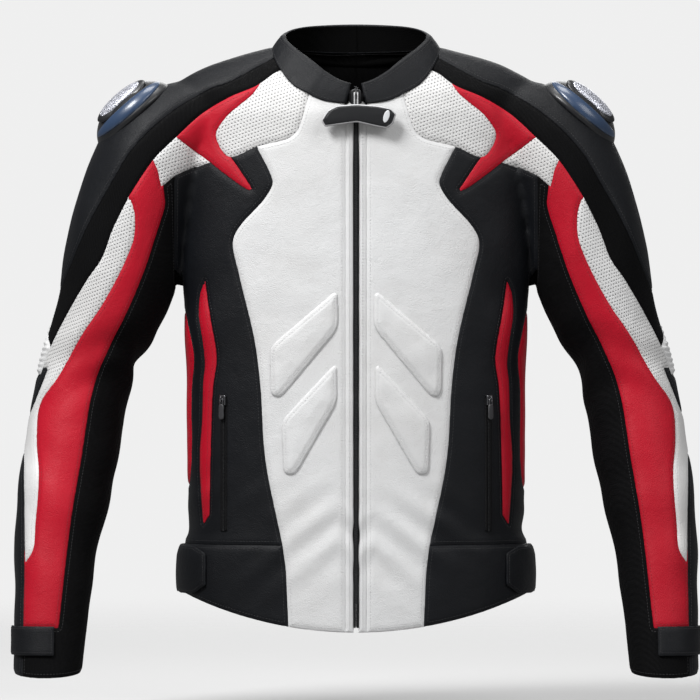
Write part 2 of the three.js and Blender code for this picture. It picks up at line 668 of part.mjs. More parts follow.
const strapSkin = torsoForm(GAP + STRAP_THICKNESS).subtract(torsoForm(GAP));
pair('waist_strap', strapSkin.intersect(prism(WAIST_STRAP.outline, -FAR, WAIST_STRAP.rear)), 'moulded');
const cuffSkin = sleeveForm(GAP + STRAP_THICKNESS).subtract(sleeveForm(GAP));
pair('cuff_strap', cuffSkin.intersect(box(
  [-FAR, CUFF_STRAP.end],
  [-FAR, CUFF_STRAP.rear],
  [CUFF_STRAP.top - CUFF_STRAP.height, CUFF_STRAP.top],
)), 'moulded');

function shoulderDome({ length, width, height, lift = 0 }, grow) {
  const geometry = new THREE.SphereGeometry(1, 16, 10);
  geometry.scale(length + grow, width + grow, height + grow);
  geometry.translate(0, 0, lift);
  geometry.rotateY(-ARMOUR.lean);
  geometry.translate(ARMOUR.x, ARMOUR.y, ARMOUR.z);
  return solid(geometry);
}
const shoulderForm = torsoForm(GAP).add(sleeveForm(GAP));
pair('armour_base', shoulderDome(ARMOUR, 0).subtract(shoulderForm), 'moulded');
pair('armour_insert', shoulderDome(INSERT, 0).subtract(shoulderDome(ARMOUR, GAP)), 'mesh');

export default group;
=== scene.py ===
"""Leather riding jacket, filled out as if worn: panels, seams, stitches, zips, pads, armour and studio."""

import logging
import math
from dataclasses import dataclass, field
from enum import Enum
from typing import Callable, Sequence

import bpy
import numpy as np
from mathutils import Matrix, Vector, noise
from mathutils.bvhtree import BVHTree


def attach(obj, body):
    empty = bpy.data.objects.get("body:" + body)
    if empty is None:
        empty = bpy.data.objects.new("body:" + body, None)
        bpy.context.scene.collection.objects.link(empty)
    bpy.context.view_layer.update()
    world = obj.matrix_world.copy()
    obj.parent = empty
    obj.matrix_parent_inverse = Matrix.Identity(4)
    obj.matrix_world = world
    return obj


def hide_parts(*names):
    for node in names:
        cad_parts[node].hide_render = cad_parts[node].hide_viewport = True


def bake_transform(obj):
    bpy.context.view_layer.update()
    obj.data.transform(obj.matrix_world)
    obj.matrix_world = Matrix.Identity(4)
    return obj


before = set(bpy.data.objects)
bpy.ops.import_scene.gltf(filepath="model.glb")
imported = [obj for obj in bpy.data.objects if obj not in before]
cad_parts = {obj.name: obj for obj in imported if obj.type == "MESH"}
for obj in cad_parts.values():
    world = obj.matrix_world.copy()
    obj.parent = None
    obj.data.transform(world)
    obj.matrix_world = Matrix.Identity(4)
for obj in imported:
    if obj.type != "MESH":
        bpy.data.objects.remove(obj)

Array = np.ndarray
Outline = Sequence[tuple[float, float]]

MM = 0.001
SEED_SHIFT = Vector((3.1, 7.7, 1.3))
SIDES = {"right": -1.0, "left": 1.0}
SLEEVE_WRAP = 0.9  # how much depth counts across in the cloth map of round parts
THREAD = 1  # a sewn piece's second material

log = logging.getLogger("jacket")


class Fabric(Enum):
    """The finishes that a piece can take, by the record's material slot."""

    WHITE = "white"
    PERFORATED = "perforated"
    RED = "red"
    BLACK = "black"
    STRETCH = "stretch"
    LINING = "lining"
    TAPE = "tape"
    METAL = "metal"
    MOULDED = "moulded"
    BADGE = "badge"
    MESH = "mesh"


class Where(Enum):
    """Which face of the garment a seam outline is read on."""

    FRONT = "front"
    BACK = "back"


# ---------------------------------------------------------------- outlines and arrays


def smooth_curve(points: Outline, steps: int = 6) -> Array:
    """A centripetal curve through points.

    Args:
        points: The knots, in millimetres.
        steps: Samples in each span.
    Returns:
        The samples, in metres.
    """
    knots = np.array(points, float) * MM
    ends = np.vstack([2 * knots[0] - knots[1], knots, 2 * knots[-1] - knots[-2]])
    found = []
    for k in range(1, len(ends) - 2):
        p0, p1, p2, p3 = ends[k - 1], ends[k], ends[k + 1], ends[k + 2]
        t0 = 0.0
        t1 = t0 + max(np.linalg.norm(p1 - p0), 1e-6) ** 0.5
        t2 = t1 + max(np.linalg.norm(p2 - p1), 1e-6) ** 0.5
        t3 = t2 + max(np.linalg.norm(p3 - p2), 1e-6) ** 0.5
        for t in np.linspace(t1, t2, steps, endpoint=False):
            a1 = (t1 - t) / (t1 - t0) * p0 + (t - t0) / (t1 - t0) * p1
            a2 = (t2 - t) / (t2 - t1) * p1 + (t - t1) / (t2 - t1) * p2
            a3 = (t3 - t) / (t3 - t2) * p2 + (t - t2) / (t3 - t2) * p3
            b1 = (t2 - t) / (t2 - t0) * a1 + (t - t0) / (t2 - t0) * a2
            b2 = (t3 - t) / (t3 - t1) * a2 + (t - t1) / (t3 - t1) * a3
            found.append((t2 - t) / (t2 - t1) * b1 + (t - t1) / (t2 - t1) * b2)
    found.append(knots[-1])
    return np.array(found)


def corners(points: Outline) -> Array:
    """Straight-sided points, in metres."""
    return np.array(points, float) * MM


def closed_curve(points: Outline, steps: int = 6) -> Array:
    """A smooth closed outline through points, in metres."""
    ring = [*points, points[0], points[1], points[2]]
    return smooth_curve(ring, steps)[steps : steps * (len(points) + 1)]


def signed_distance(points: Array, outline: Array) -> Array:
    """Distance of each point from a closed outline, negative inside.

    Args:
        points: An n by 2 array, in metres.
        outline: An m by 2 array, in metres.
    Returns:
        The n distances.
    """
    a, b = outline, np.roll(outline, -1, axis=0)
    ab = b - a
    long2 = np.maximum((ab**2).sum(1), 1e-18)
    result = np.empty(len(points))
    for start in range(0, len(points), 16384):
        p = points[start : start + 16384, None, :]
        ap = p - a[None]
        t = np.clip((ap * ab).sum(2) / long2, 0, 1)
        near = ((ap - t[..., None] * ab) ** 2).sum(2).min(1) ** 0.5
        above = a[None, :, 1] > p[..., 1]
        crosses = above != (b[None, :, 1] > p[..., 1])
        height = np.where(np.abs(ab[:, 1]) < 1e-12, 1e-12, ab[:, 1])
        at = a[:, 0] + (p[..., 1] - a[:, 1]) / height * ab[:, 0]
        inside = (crosses & (p[..., 0] < at)).sum(1) % 2 == 1
        result[start : start + 16384] = np.where(inside, -near, near)
    return result


def unit(v: Array) -> Array:
    """Rows scaled to length one."""
    return v / np.maximum(np.linalg.norm(v, axis=-1, keepdims=True), 1e-12)


def point_normals(v: Array, f: Array) -> Array:
    """Smooth normals of the points of a set of triangles."""
    a, b, c = v[f[:, 0]], v[f[:, 1]], v[f[:, 2]]
    face = np.cross(b - a, c - a)
    n = np.zeros_like(v)
    for k in range(3):
        np.add.at(n, f[:, k], face)
    return unit(n)


def bell(x: Array, width: float) -> Array:
    """A smooth bump of height one, and of that width."""
    return np.exp(-((x / width) ** 2))


def noise_at(v: Array, scale: float, shift: float = 0.0) -> Array:
    """Smooth noise from -1 to 1 at each point."""
    at = Vector((shift, shift, shift)) + SEED_SHIFT
    return np.array([noise.noise(Vector(p) * scale + at) for p in v])


def running_mean(values: Array, span: int) -> Array:
    """Running means of a row of numbers, with its ends held."""
    return np.convolve(np.pad(values, span // 2, mode="edge"), np.ones(span) / span, "valid")


def placed(at: Matrix, points: Sequence[Sequence[float]]) -> Array:
    """Points moved by a frame."""
    return np.array([list(at @ Vector(p)) for p in points])


def filled_path(points: Array, steps: int) -> Array:
    """A path's straight stretches, each divided into steps."""
    spans = [np.linspace(a, b, steps + 1)[:-1] for a, b in zip(points[:-1], points[1:])]
    return np.vstack([*spans, points[-1:]])


# ---------------------------------------------------------------- a skin of triangles


@dataclass
class Skin:
    """A surface of triangles that seams can cut.

    Attributes:
        v: Points, in metres.
        n: Outward normals at the points.
        f: Triangles as point indices.
    """

    v: Array
    n: Array
    f: Array

    def edges(self) -> tuple[Array, Array]:
        """The distinct edges, and for each triangle the indices of its three edges."""
        e = np.stack([self.f, np.roll(self.f, -1, axis=1)], axis=2)
        e = np.sort(e.reshape(-1, 2), axis=1)
        keys, inverse = np.unique(e[:, 0] * len(self.v) + e[:, 1], return_inverse=True)
        return np.stack([keys // len(self.v), keys % len(self.v)], axis=1), inverse.reshape(-1, 3)

    def split(self, chosen: Array, share: Array, edges: Array, of: Array) -> None:
        """Put a point on each chosen edge and divide the triangles round it.

        Args:
            chosen: For each edge, whether it gets a point.
            share: How far along the edge the point lies.
            edges: The distinct edges.
            of: For each triangle, its edges.
        """
        place = np.full(len(edges), -1)
        place[chosen] = len(self.v) + np.arange(chosen.sum())
        a, b = edges[chosen, 0], edges[chosen, 1]
        s = share[chosen, None]
        self.v = np.vstack([self.v, self.v[a] * (1 - s) + self.v[b] * s])
        self.n = np.vstack([self.n, unit(self.n[a] * (1 - s) + self.n[b] * s)])
        marks = place[of] >= 0
        count = marks.sum(1)
        parts = [self.f[count == 0]]
        for k in range(3):
            turn = [(k + i) % 3 for i in range(3)]
            one = (count == 1) & marks[:, k]
            v0, v1, v2 = (self.f[one][:, t] for t in turn)
            m = place[of[one][:, k]]
            parts += [np.stack([v0, m, v2], 1), np.stack([m, v1, v2], 1)]
            two = (count == 2) & ~marks[:, turn[1]]
            v0, v1, v2 = (self.f[two][:, t] for t in turn)
            m, w = place[of[two][:, k]], place[of[two][:, turn[2]]]
            parts += [np.stack([v0, m, w], 1), np.stack([m, v1, v2], 1), np.stack([m, v2, w], 1)]
        all3 = count == 3
        v0, v1, v2 = self.f[all3].T
        m0, m1, m2 = place[of[all3]].T
        parts += [np.stack(t, 1) for t in ((v0, m0, m2), (m0, v1, m1), (m2, m1, v2), (m0, m1, m2))]
        self.f = np.vstack(parts)

    def cut(self, phi: Callable[["Skin"], Array], close: float = 0.25 * MM) -> tuple["Skin", "Skin"]:
        """Cut along the zero line of a field.

        Args:
            phi: Gives the field at the skin's points, negative inside.
            close: Points nearer than this count as on the line.
        Returns:
            The part inside and the part outside.
        """
        value = phi(self)
        value = np.where(np.abs(value) < close, 0.0, value)
        edges, of = self.edges()
        a, b = value[edges[:, 0]], value[edges[:, 1]]
        crossing = a * b < 0
        share = np.where(crossing, a / np.where(crossing, a - b, 1), 0.5)
        whole = Skin(self.v, self.n, self.f)
        whole.split(crossing, share, edges, of)
        value = np.concatenate([value, np.zeros(crossing.sum())])
        inside = value[whole.f].sum(1) < 0
        return whole.part(inside), whole.part(~inside)

    def part(self, chosen: Array) -> "Skin":
        """The chosen triangles as a skin of their own."""
        used, inverse = np.unique(self.f[chosen], return_inverse=True)
        return Skin(self.v[used], self.n[used], inverse.reshape(-1, 3))

    def border(self) -> Array:
        """The edges that only one triangle uses, in its own direction."""
        e = np.stack([self.f, np.roll(self.f, -1, axis=1)], axis=2).reshape(-1, 2)
        low, high = e.min(1), e.max(1)
        _, inverse, count = np.unique(low * len(self.v) + high, return_inverse=True, return_counts=True)
        return e[count[inverse.ravel()] == 1]

    def edge_distance(self) -> Array:
        """Each point's distance from the border, up to a limit of 40 mm."""
        b = self.border()
        cell = 0.04
        if not len(b):
            return np.full(len(self.v), cell)
        marks = np.vstack([self.v[b[:, 0]], (self.v[b[:, 0]] + self.v[b[:, 1]]) / 2])
        result = np.full(len(self.v), cell)
        keys = np.floor(marks / cell).astype(int)
        where: dict[tuple[int, int, int], list[int]] = {}
        for i, key in enumerate(map(tuple, keys)):
            where.setdefault(key, []).append(i)
        own = np.floor(self.v / cell).astype(int)
        cells, inverse = np.unique(own, axis=0, return_inverse=True)
        inverse = inverse.ravel()
        order = np.argsort(inverse, kind="stable")
        starts = np.searchsorted(inverse[order], np.arange(len(cells) + 1))
        around = np.array(np.meshgrid(*[[-1, 0, 1]] * 3)).reshape(3, -1).T
        for c, key in enumerate(cells):
            near = [i for d in around for i in where.get(tuple(key + d), ())]
            if not near:
                continue
            mine = order[starts[c] : starts[c + 1]]
            gap = self.v[mine][:, None, :] - marks[near][None]
            result[mine] = np.minimum(cell, np.sqrt((gap**2).sum(2).min(1)))
        return result

    def refine(self, longest: float, band: float | None, rounds: int = 3) -> None:
        """Halve long edges, all of them or only those near the border.

        Args:
            longest: Edges above this length are halved.
            band: How near the border, or None for everywhere.
            rounds: How many times to look.
        """
        for _ in range(rounds):
            edges, of = self.edges()
            length = np.linalg.norm(self.v[edges[:, 0]] - self.v[edges[:, 1]], axis=1)
            chosen = length > longest
            if band is not None:
                d = self.edge_distance()
                chosen &= np.minimum(d[edges[:, 0]], d[edges[:, 1]]) < band
            if not chosen.any():
                return
            self.split(chosen, np.full(len(edges), 0.5), edges, of)

    def lines(self, value: Array, level: float) -> list[Array]:
        """The level lines of a field.

        Args:
            value: The field at the points.
            level: The level to follow.
        Returns:
            One m by 6 array for each line: points and normals in order.
        """
        edges, of = self.edges()
        a, b = value[edges[:, 0]] - level, value[edges[:, 1]] - level
        crossing = (a < 0) != (b < 0)
        share = np.where(crossing, a / np.where(crossing, a - b, 1), 0)[:, None]
        both = np.hstack([self.v, self.n])
        at = both[edges[:, 0]] * (1 - share) + both[edges[:, 1]] * share
        hit = crossing[of]
        rows = of[hit.sum(1) == 2][hit[hit.sum(1) == 2]].reshape(-1, 2)
        links: dict[int, list[int]] = {}
        for p, q in rows.tolist():
            links.setdefault(p, []).append(q)
            links.setdefault(q, []).append(p)
        starts = [k for k, near in links.items() if len(near) == 1] + sorted(links)
        seen: set[int] = set()
        found = []
        for k in starts:
            if k in seen:
                continue
            chain = [k]
            seen.add(k)
            while True:
                onward = [q for q in links[chain[-1]] if q not in seen]
                if not onward:
                    break
                chain.append(onward[0])
                seen.add(onward[0])
            if len(chain) > 4:
                if len(links[chain[0]]) == 2 and chain[0] in links[chain[-1]]:
                    chain.append(chain[0])
                found.append(at[chain])
        return found


# ---------------------------------------------------------------- meshes


@dataclass
class Draft:
    """Points and faces gathered for one piece, each face with a material index."""

    v: list[Array] = field(default_factory=list)
    f: list[Array] = field(default_factory=list)
    m: list[Array] = field(default_factory=list)
    count: int = 0

    def add(self, v: Array, f: Array, material: int = 0) -> None:
        """Add points with their triangles or quads."""
        self.v.append(np.asarray(v, float))
        self.f.append(np.asarray(f, int) + self.count)
        self.m.append(np.full(len(f), material))
        self.count += len(v)

    def build(self, name: str, finishes: Sequence["Finish"]) -> bpy.types.Object:
        """Make the object.

        Args:
            name: The piece's name.
            finishes: The materials, in index order.
        Returns:
            The new object, linked to the scene.
        """
        faces = [row for rows in self.f for row in rows.tolist()]
        return new_piece(name, np.vstack(self.v), faces, finishes, np.concatenate(self.m))

    def cap(self, ring: Array, flip: bool = False) -> None:
        """Close a ring of points with a fan round its middle."""
        k = np.arange(len(ring))
        pair = ((k + 1) % len(ring), k) if flip else (k, (k + 1) % len(ring))
        self.add(np.vstack([ring, ring.mean(0)]), np.stack([*pair, np.full(len(ring), len(ring))], 1))


def new_piece(
    name: str, points: Array, faces: Sequence[Sequence[int]], finishes: Sequence["Finish"],
    index: Array | None = None
) -> bpy.types.Object:
    """Make a smooth object and link it to the scene.

    Args:
        name: Its name.
        points: Its points.
        faces: Its faces, as point indices.
        finishes: Its materials, in index order.
        index: Each face's material index, or None where all take the first.
    Returns:
        The new object.
    """
    mesh = bpy.data.meshes.new(name)
    mesh.from_pydata(points.tolist(), [], faces)
    if index is not None:
        mesh.polygons.foreach_set("material_index", index.astype(np.int32))
    mesh.polygons.foreach_set("use_smooth", np.ones(len(faces), bool))
    for finish in finishes:
        mesh.materials.append(finish.material())
    mesh.update()
    piece = bpy.data.objects.new(name, mesh)
    bpy.context.scene.collection.objects.link(piece)
    return piece


def tube_rows(rows: Array, closed: bool) -> Array:
    """Quads that join equal rows of points; closed joins each row's ends."""
    r, c = rows.shape[:2]
    i, j = np.meshgrid(np.arange(r - 1), np.arange(c if closed else c - 1), indexing="ij")
    k = (j + 1) % c
    return np.stack([i * c + j, i * c + k, (i + 1) * c + k, (i + 1) * c + j], axis=2).reshape(-1, 4)


def end_fans(sides: int, rows: int) -> Array:
    """Triangles from a tube's two ends to two hub points that follow its rows."""
    k = np.arange(sides)
    on, hub, last = (k + 1) % sides, np.full(sides, rows * sides), (rows - 1) * sides
    return np.vstack([np.stack([k, on, hub], 1), np.stack([last + on, last + k, hub + 1], 1)])


def sheet(top: Array, bottom: Array, skin: Skin) -> Draft:
    """A skin's faces twice, as a closed sheet.

    Args:
        top: The outer points.
        bottom: The inner points.
        skin: Its faces are used for both, and its border for the rim.
    Returns:
        The sheet as a draft.
    """
    draft = Draft()
    draft.add(top, skin.f)
    draft.add(bottom, skin.f[:, ::-1])
    b, count = skin.border(), len(skin.v)
    rim = np.stack([b[:, 1], b[:, 0], b[:, 0] + count, b[:, 1] + count], 1)
    draft.add(np.vstack([top, bottom]), rim)
    return draft


@dataclass(frozen=True)
class Stitching:
    """A row of sewn stitches.

    Attributes:
        inset: How far the row lies from the seam.
        pitch: From one stitch to the next.
        length: One stitch's visible length.
        radius: The thread's radius.
    """

    inset: float = 4.0 * MM
    pitch: float = 3.5 * MM
    length: float = 2.6 * MM
    radius: float = 0.30 * MM

    def edge(self, draft: Draft, top: Array, skin: Skin, far: Array) -> None:
        """Sew a row inside a sheet's edge.

        Args:
            draft: The sheet.
            top: Its outer points.
            skin: Its skin.
            far: Each point's distance from the edge.
        """
        for line in Skin(top, point_normals(top, skin.f), skin.f).lines(far, self.inset):
            self.sew(draft, line)

    def sew(self, draft: Draft, line: Array) -> None:
        """Add stitches along an m by 6 array of points and normals."""
        steps = np.linalg.norm(np.diff(line[:, :3], axis=0), axis=1)
        far = np.concatenate([[0], np.cumsum(steps)])
        count = int(far[-1] / self.pitch)
        if count < 2:
            return
        at = (np.arange(count) + 0.5) * far[-1] / count
        half = self.length / 2

        def sample(s: Array) -> Array:
            return np.stack([np.interp(s, far, line[:, k]) for k in range(6)], axis=1)

        mid, ahead, behind = sample(at), sample(at + half), sample(at - half)
        t = unit(ahead[:, :3] - behind[:, :3])
        n = unit(mid[:, 3:])
        b = np.cross(n, t)
        shape = [(-half, 0, -0.6)] + [
            (x, math.cos(a), math.sin(a))
            for x in (-0.62 * half, 0.62 * half)
            for a in (math.pi / 4, 3 * math.pi / 4, 5 * math.pi / 4, 7 * math.pi / 4)
        ] + [(half, 0, -0.6)]
        points = np.stack(
            [mid[:, :3] + t * x + b * (u * self.radius) + n * (w * self.radius + 0.1 * MM)
             for x, u, w in shape],
            axis=1,
        )
        faces = [(0, 2, 1), (0, 3, 2), (0, 4, 3), (0, 1, 4), (9, 5, 6), (9, 6, 7), (9, 7, 8), (9, 8, 5)]
        for i in range(4):
            on = (i + 1) % 4
            faces += [(1 + i, 1 + on, 5 + i), (1 + on, 5 + on, 5 + i)]
        index = np.array(faces)[None] + (np.arange(count) * len(shape))[:, None, None]
        draft.add(points.reshape(-1, 3), index.reshape(-1, 3), THREAD)


# ---------------------------------------------------------------- node groups and finishes


def rgba(colour: Sequence[float]) -> tuple[float, ...]:
    """A colour with full alpha."""
    return (*colour, 1.0)


class Nodes:
    """A small helper that adds shader nodes and links them."""

    def __init__(self, tree: bpy.types.NodeTree) -> None:
        """Work in one node tree."""
        self.tree = tree

    def add(self, kind: str, values: dict[str | int, object] | None = None,
            **settings: object) -> bpy.types.Node:
        """Add a node.

        Args:
            kind: The node's type.
            values: Input values or sockets to link, by input.
            settings: The node's own settings.
        Returns:
            The new node.
        """
        node = self.tree.nodes.new(kind)
        for key, value in settings.items():
            setattr(node, key, value)
        self.fill(node, values or {})
        return node

    def fill(self, node: bpy.types.Node, values: dict[str | int, object]) -> None:
        """Link sockets to a node's inputs, or set the inputs' values."""
        for key, value in values.items():
            if isinstance(value, bpy.types.NodeSocket):
                self.tree.links.new(value, node.inputs[key])
            else:
                node.inputs[key].default_value = value

    def noise(self, vector: object, scale: object, detail: float) -> bpy.types.Node:
        """Cloudy noise."""
        return self.add("ShaderNodeTexNoise", {"Vector": vector, "Scale": scale, "Detail": detail})

    def warped(self, vector: object, scale: float, detail: float, amount: float) -> bpy.types.NodeSocket:
        """A vector moved about by noise."""
        drift = self.noise(vector, scale, detail).outputs["Color"]
        shift = self.add("ShaderNodeVectorMath", {0: drift, "Scale": amount}, operation="SCALE").outputs[0]
        return self.add("ShaderNodeVectorMath", {0: vector, 1: shift}, operation="ADD").outputs[0]

    def math(self, how: str, a: object, b: object = 0.0, c: object = 0.0) -> bpy.types.NodeSocket:
        """One arithmetic step."""
        return self.add("ShaderNodeMath", {0: a, 1: b, 2: c}, operation=how).outputs[0]

    def blend(self, factor: object, a: object, b: object, how: str = "MIX") -> bpy.types.NodeSocket:
        """Mix two colours."""
        node = self.add("ShaderNodeMix", {0: factor, 6: a, 7: b}, data_type="RGBA", blend_type=how)
        return node.outputs[2]

    def coats(self, base: object, *layers: tuple[object, float, Sequence[float]]) -> object:
        """Lay colours over a base, each where its mask is, and by its share."""
        for mask, share, colour in layers:
            base = self.blend(self.math("MULTIPLY", mask, share), base, rgba(colour))
        return base

    def ramp(self, value: object, low: float, high: float, first: float = 0.0,
             last: float = 1.0) -> bpy.types.NodeSocket:
        """A smooth step from low to high."""
        node = self.add(
            "ShaderNodeMapRange",
            {0: value, 1: low, 2: high, 3: first, 4: last},
            interpolation_type="SMOOTHSTEP",
        )
        return node.outputs[0]


def group(
    name: str, inputs: dict[str, float], outputs: dict[str, str]
) -> tuple[Nodes, bpy.types.Node, bpy.types.Node]:
    """A new shader node group.

    Args:
        name: The group's name.
        inputs: Number inputs and their defaults; a Vector input is always first.
        outputs: Output names and their socket types.
    Returns:
        A helper for the group, its input node and its output node.
    """
    tree = bpy.data.node_groups.new(name, "ShaderNodeTree")
    tree.interface.new_socket("Vector", in_out="INPUT", socket_type="NodeSocketVector")
    for key, value in inputs.items():
        socket = tree.interface.new_socket(key, in_out="INPUT", socket_type="NodeSocketFloat")
        socket.default_value = value
    for key, kind in outputs.items():
        tree.interface.new_socket(key, in_out="OUTPUT", socket_type=kind)
    nodes = Nodes(tree)
    return nodes, nodes.add("NodeGroupInput"), nodes.add("NodeGroupOutput")


FLOAT = "NodeSocketFloat"


class Effects:
    """The node groups that several finishes share, each built once."""

    _made: dict[str, bpy.types.NodeTree] = {}

    @classmethod
    def get(cls, name: str) -> bpy.types.NodeTree:
        """The named group, built when first asked for."""
        if name not in cls._made:
            cls._made[name] = getattr(cls, "_" + name)()
        return cls._made[name]

    @staticmethod
    def _grain() -> bpy.types.NodeTree:
        """Pebbled hide with finer pores and a slow change of depth; the valley mask is also used for painted
        shade in the grain's low parts.
        """
        n, given, out = group("leather_grain", {"Cell": 1100.0, "Slack": 60.0},
                              {"Height": FLOAT, "Valley": FLOAT})
        v = given.outputs["Vector"]
        at = n.warped(v, 420.0, 2.0, 0.0009)
        cell = n.add("ShaderNodeTexVoronoi", {"Vector": at, "Scale": given.outputs["Cell"]},
                     feature="SMOOTH_F1")
        pore = n.noise(v, 3800.0, 2.0)
        slow = n.noise(v, given.outputs["Slack"], 3.0)
        valley = n.ramp(cell.outputs["Distance"], 0.2, 0.75)
        height = n.math("MULTIPLY_ADD", pore.outputs[0], 0.25, n.math("SUBTRACT", 1.0, valley))
        deep = n.math("MULTIPLY", height, n.ramp(slow.outputs[0], 0.3, 0.7, 0.55, 1.0))
        n.fill(out, {"Height": deep, "Valley": valley})
        return n.tree

    @staticmethod
    def _creases() -> bpy.types.NodeTree:
        """Soft wandering puckers, as hide takes where it bends, with a mask of their low lines for painted
        shade.
        """
        n, given, out = group("soft_creases", {"Scale": 34.0}, {"Height": FLOAT, "Line": FLOAT})
        v = given.outputs["Vector"]
        at = n.warped(v, 18.0, 3.0, 0.03)
        broad = n.noise(at, given.outputs["Scale"], 3.0)
        fine = n.noise(at, 150.0, 2.0)
        n.fill(
            out,
            {
                "Height": n.math("MULTIPLY_ADD", fine.outputs[0], 0.22, broad.outputs[0]),
                # painted shade: the puckers' low lines, where shade falls
                "Line": n.ramp(broad.outputs[0], 0.45, 0.3),
            },
        )
        return n.tree

    @staticmethod
    def _tone() -> bpy.types.NodeTree:
        """Cloudy colour variation with light dust on faces that look up."""
        n, given, out = group("hide_tone", {"Scale": 6.0}, {"Cloud": FLOAT, "Dust": FLOAT})
        v = given.outputs["Vector"]
        cloud = n.noise(v, given.outputs["Scale"], 4.0)
        speck = n.noise(v, 900.0, 2.0)
        up = n.add("ShaderNodeSeparateXYZ", {0: n.add("ShaderNodeNewGeometry").outputs["Normal"]}).outputs[2]
        dust = n.math("MULTIPLY", n.ramp(up, 0.2, 1.0), n.ramp(speck.outputs[0], 0.5, 0.75))
        n.fill(out, {"Cloud": n.ramp(cloud.outputs[0], 0.3, 0.7), "Dust": dust})
        return n.tree

    @staticmethod
    def _wear() -> bpy.types.NodeTree:
        """Rubbed high edges, broken up so that they aren't a plain outline."""
        n, given, out = group("edge_wear", {"Low": 0.52, "High": 0.62}, {"Mask": FLOAT})
        high = n.add("ShaderNodeNewGeometry").outputs["Pointiness"]
        patch = n.noise(given.outputs["Vector"], 90.0, 3.0)
        edge = n.ramp(high, given.outputs["Low"], given.outputs["High"])
        n.fill(out, {"Mask": n.math("MULTIPLY", edge, n.ramp(patch.outputs[0], 0.4, 0.6))})
        return n.tree

    @staticmethod
    def _holes() -> bpy.types.NodeTree:
        """Rows of punched holes, every other row shifted by half a step."""
        n, given, out = group("perforation", {"Pitch": 0.0037, "Radius": 0.19},
                              {"Hole": FLOAT, "Height": FLOAT})
        parts = n.add("ShaderNodeSeparateXYZ", {0: given.outputs["Vector"]})
        u = n.math("DIVIDE", parts.outputs[0], given.outputs["Pitch"])
        w = n.math("DIVIDE", parts.outputs[1], given.outputs["Pitch"])
        row = n.math("FLOOR", w)
        odd = n.math("MULTIPLY", n.math("FLOORED_MODULO", row, 2.0), 0.5)
        du = n.math("SUBTRACT", n.math("FRACT", n.math("ADD", u, odd)), 0.5)
        dw = n.math("SUBTRACT", n.math("FRACT", w), 0.5)
        far = n.math("SQRT", n.math("ADD", n.math("MULTIPLY", du, du), n.math("MULTIPLY", dw, dw)))
        ratio = n.math("DIVIDE", far, given.outputs["Radius"])
        n.fill(out, {"Hole": n.ramp(ratio, 0.75, 1.05, 1.0, 0.0), "Height": n.ramp(ratio, 0.6, 1.9)})
        return n.tree

    @staticmethod
    def _weave() -> bpy.types.NodeTree:
        """Crossed yarns with a rib along the cloth, and a tone mask that is lighter on raised yarns, a
        painted highlight, and varies with the fuzz.
        """
        n, given, out = group("woven_rib", {"Yarn": 900.0, "Rib": 300.0}, {"Height": FLOAT, "FuzzAndHighlight": FLOAT})
        parts = n.add("ShaderNodeSeparateXYZ", {0: given.outputs["Vector"]})
        across = n.math("SINE", n.math("MULTIPLY", parts.outputs[0],
                                       n.math("MULTIPLY", given.outputs["Yarn"], math.tau)))
        along = n.math("SINE", n.math("MULTIPLY", parts.outputs[1],
                                      n.math("MULTIPLY", given.outputs["Yarn"], math.tau)))
        rib = n.math("SINE", n.math("MULTIPLY", parts.outputs[0],
                                    n.math("MULTIPLY", given.outputs["Rib"], math.tau)))
        yarn = n.math("MULTIPLY", across, along)
        height = n.math("MULTIPLY_ADD", rib, 0.6, n.math("MULTIPLY", yarn, 0.4))
        fuzz = n.noise(given.outputs["Vector"], 700.0, 3.0)
        n.fill(
            out,
            {
                "Height": height,
                # painted highlight on raised yarns, mixed with the fuzz's own tone
                "FuzzAndHighlight": n.ramp(n.math("MULTIPLY_ADD", yarn, 0.2, fuzz.outputs[0]), 0.3, 0.8),
            },
        )
        return n.tree


@dataclass(frozen=True)
class Finish:
    """A surface finish; subclasses say how it is built."""

    name: str
    colour: tuple[float, float, float]
    roughness: float = 0.5

    def material(self) -> bpy.types.Material:
        """The material, made once for each finish."""
        found = bpy.data.materials.get(self.name)
        if found is None:
            found = bpy.data.materials.new(self.name)
            found.use_nodes = True
            found.diffuse_color = rgba(self.colour)
            self.dress(Nodes(found.node_tree), found.node_tree.nodes["Principled BSDF"])
        return found

    def dress(self, n: Nodes, shader: bpy.types.Node) -> None:
        """Set up the shader: one plain colour."""
        n.fill(shader, {"Base Color": rgba(self.colour), "Roughness": self.roughness})


def use(n: Nodes, name: str, vector: object, **values: float) -> bpy.types.Node:
    """Place a shared group in a material."""
    return n.add("ShaderNodeGroup", {"Vector": vector, **values}, node_tree=Effects.get(name))


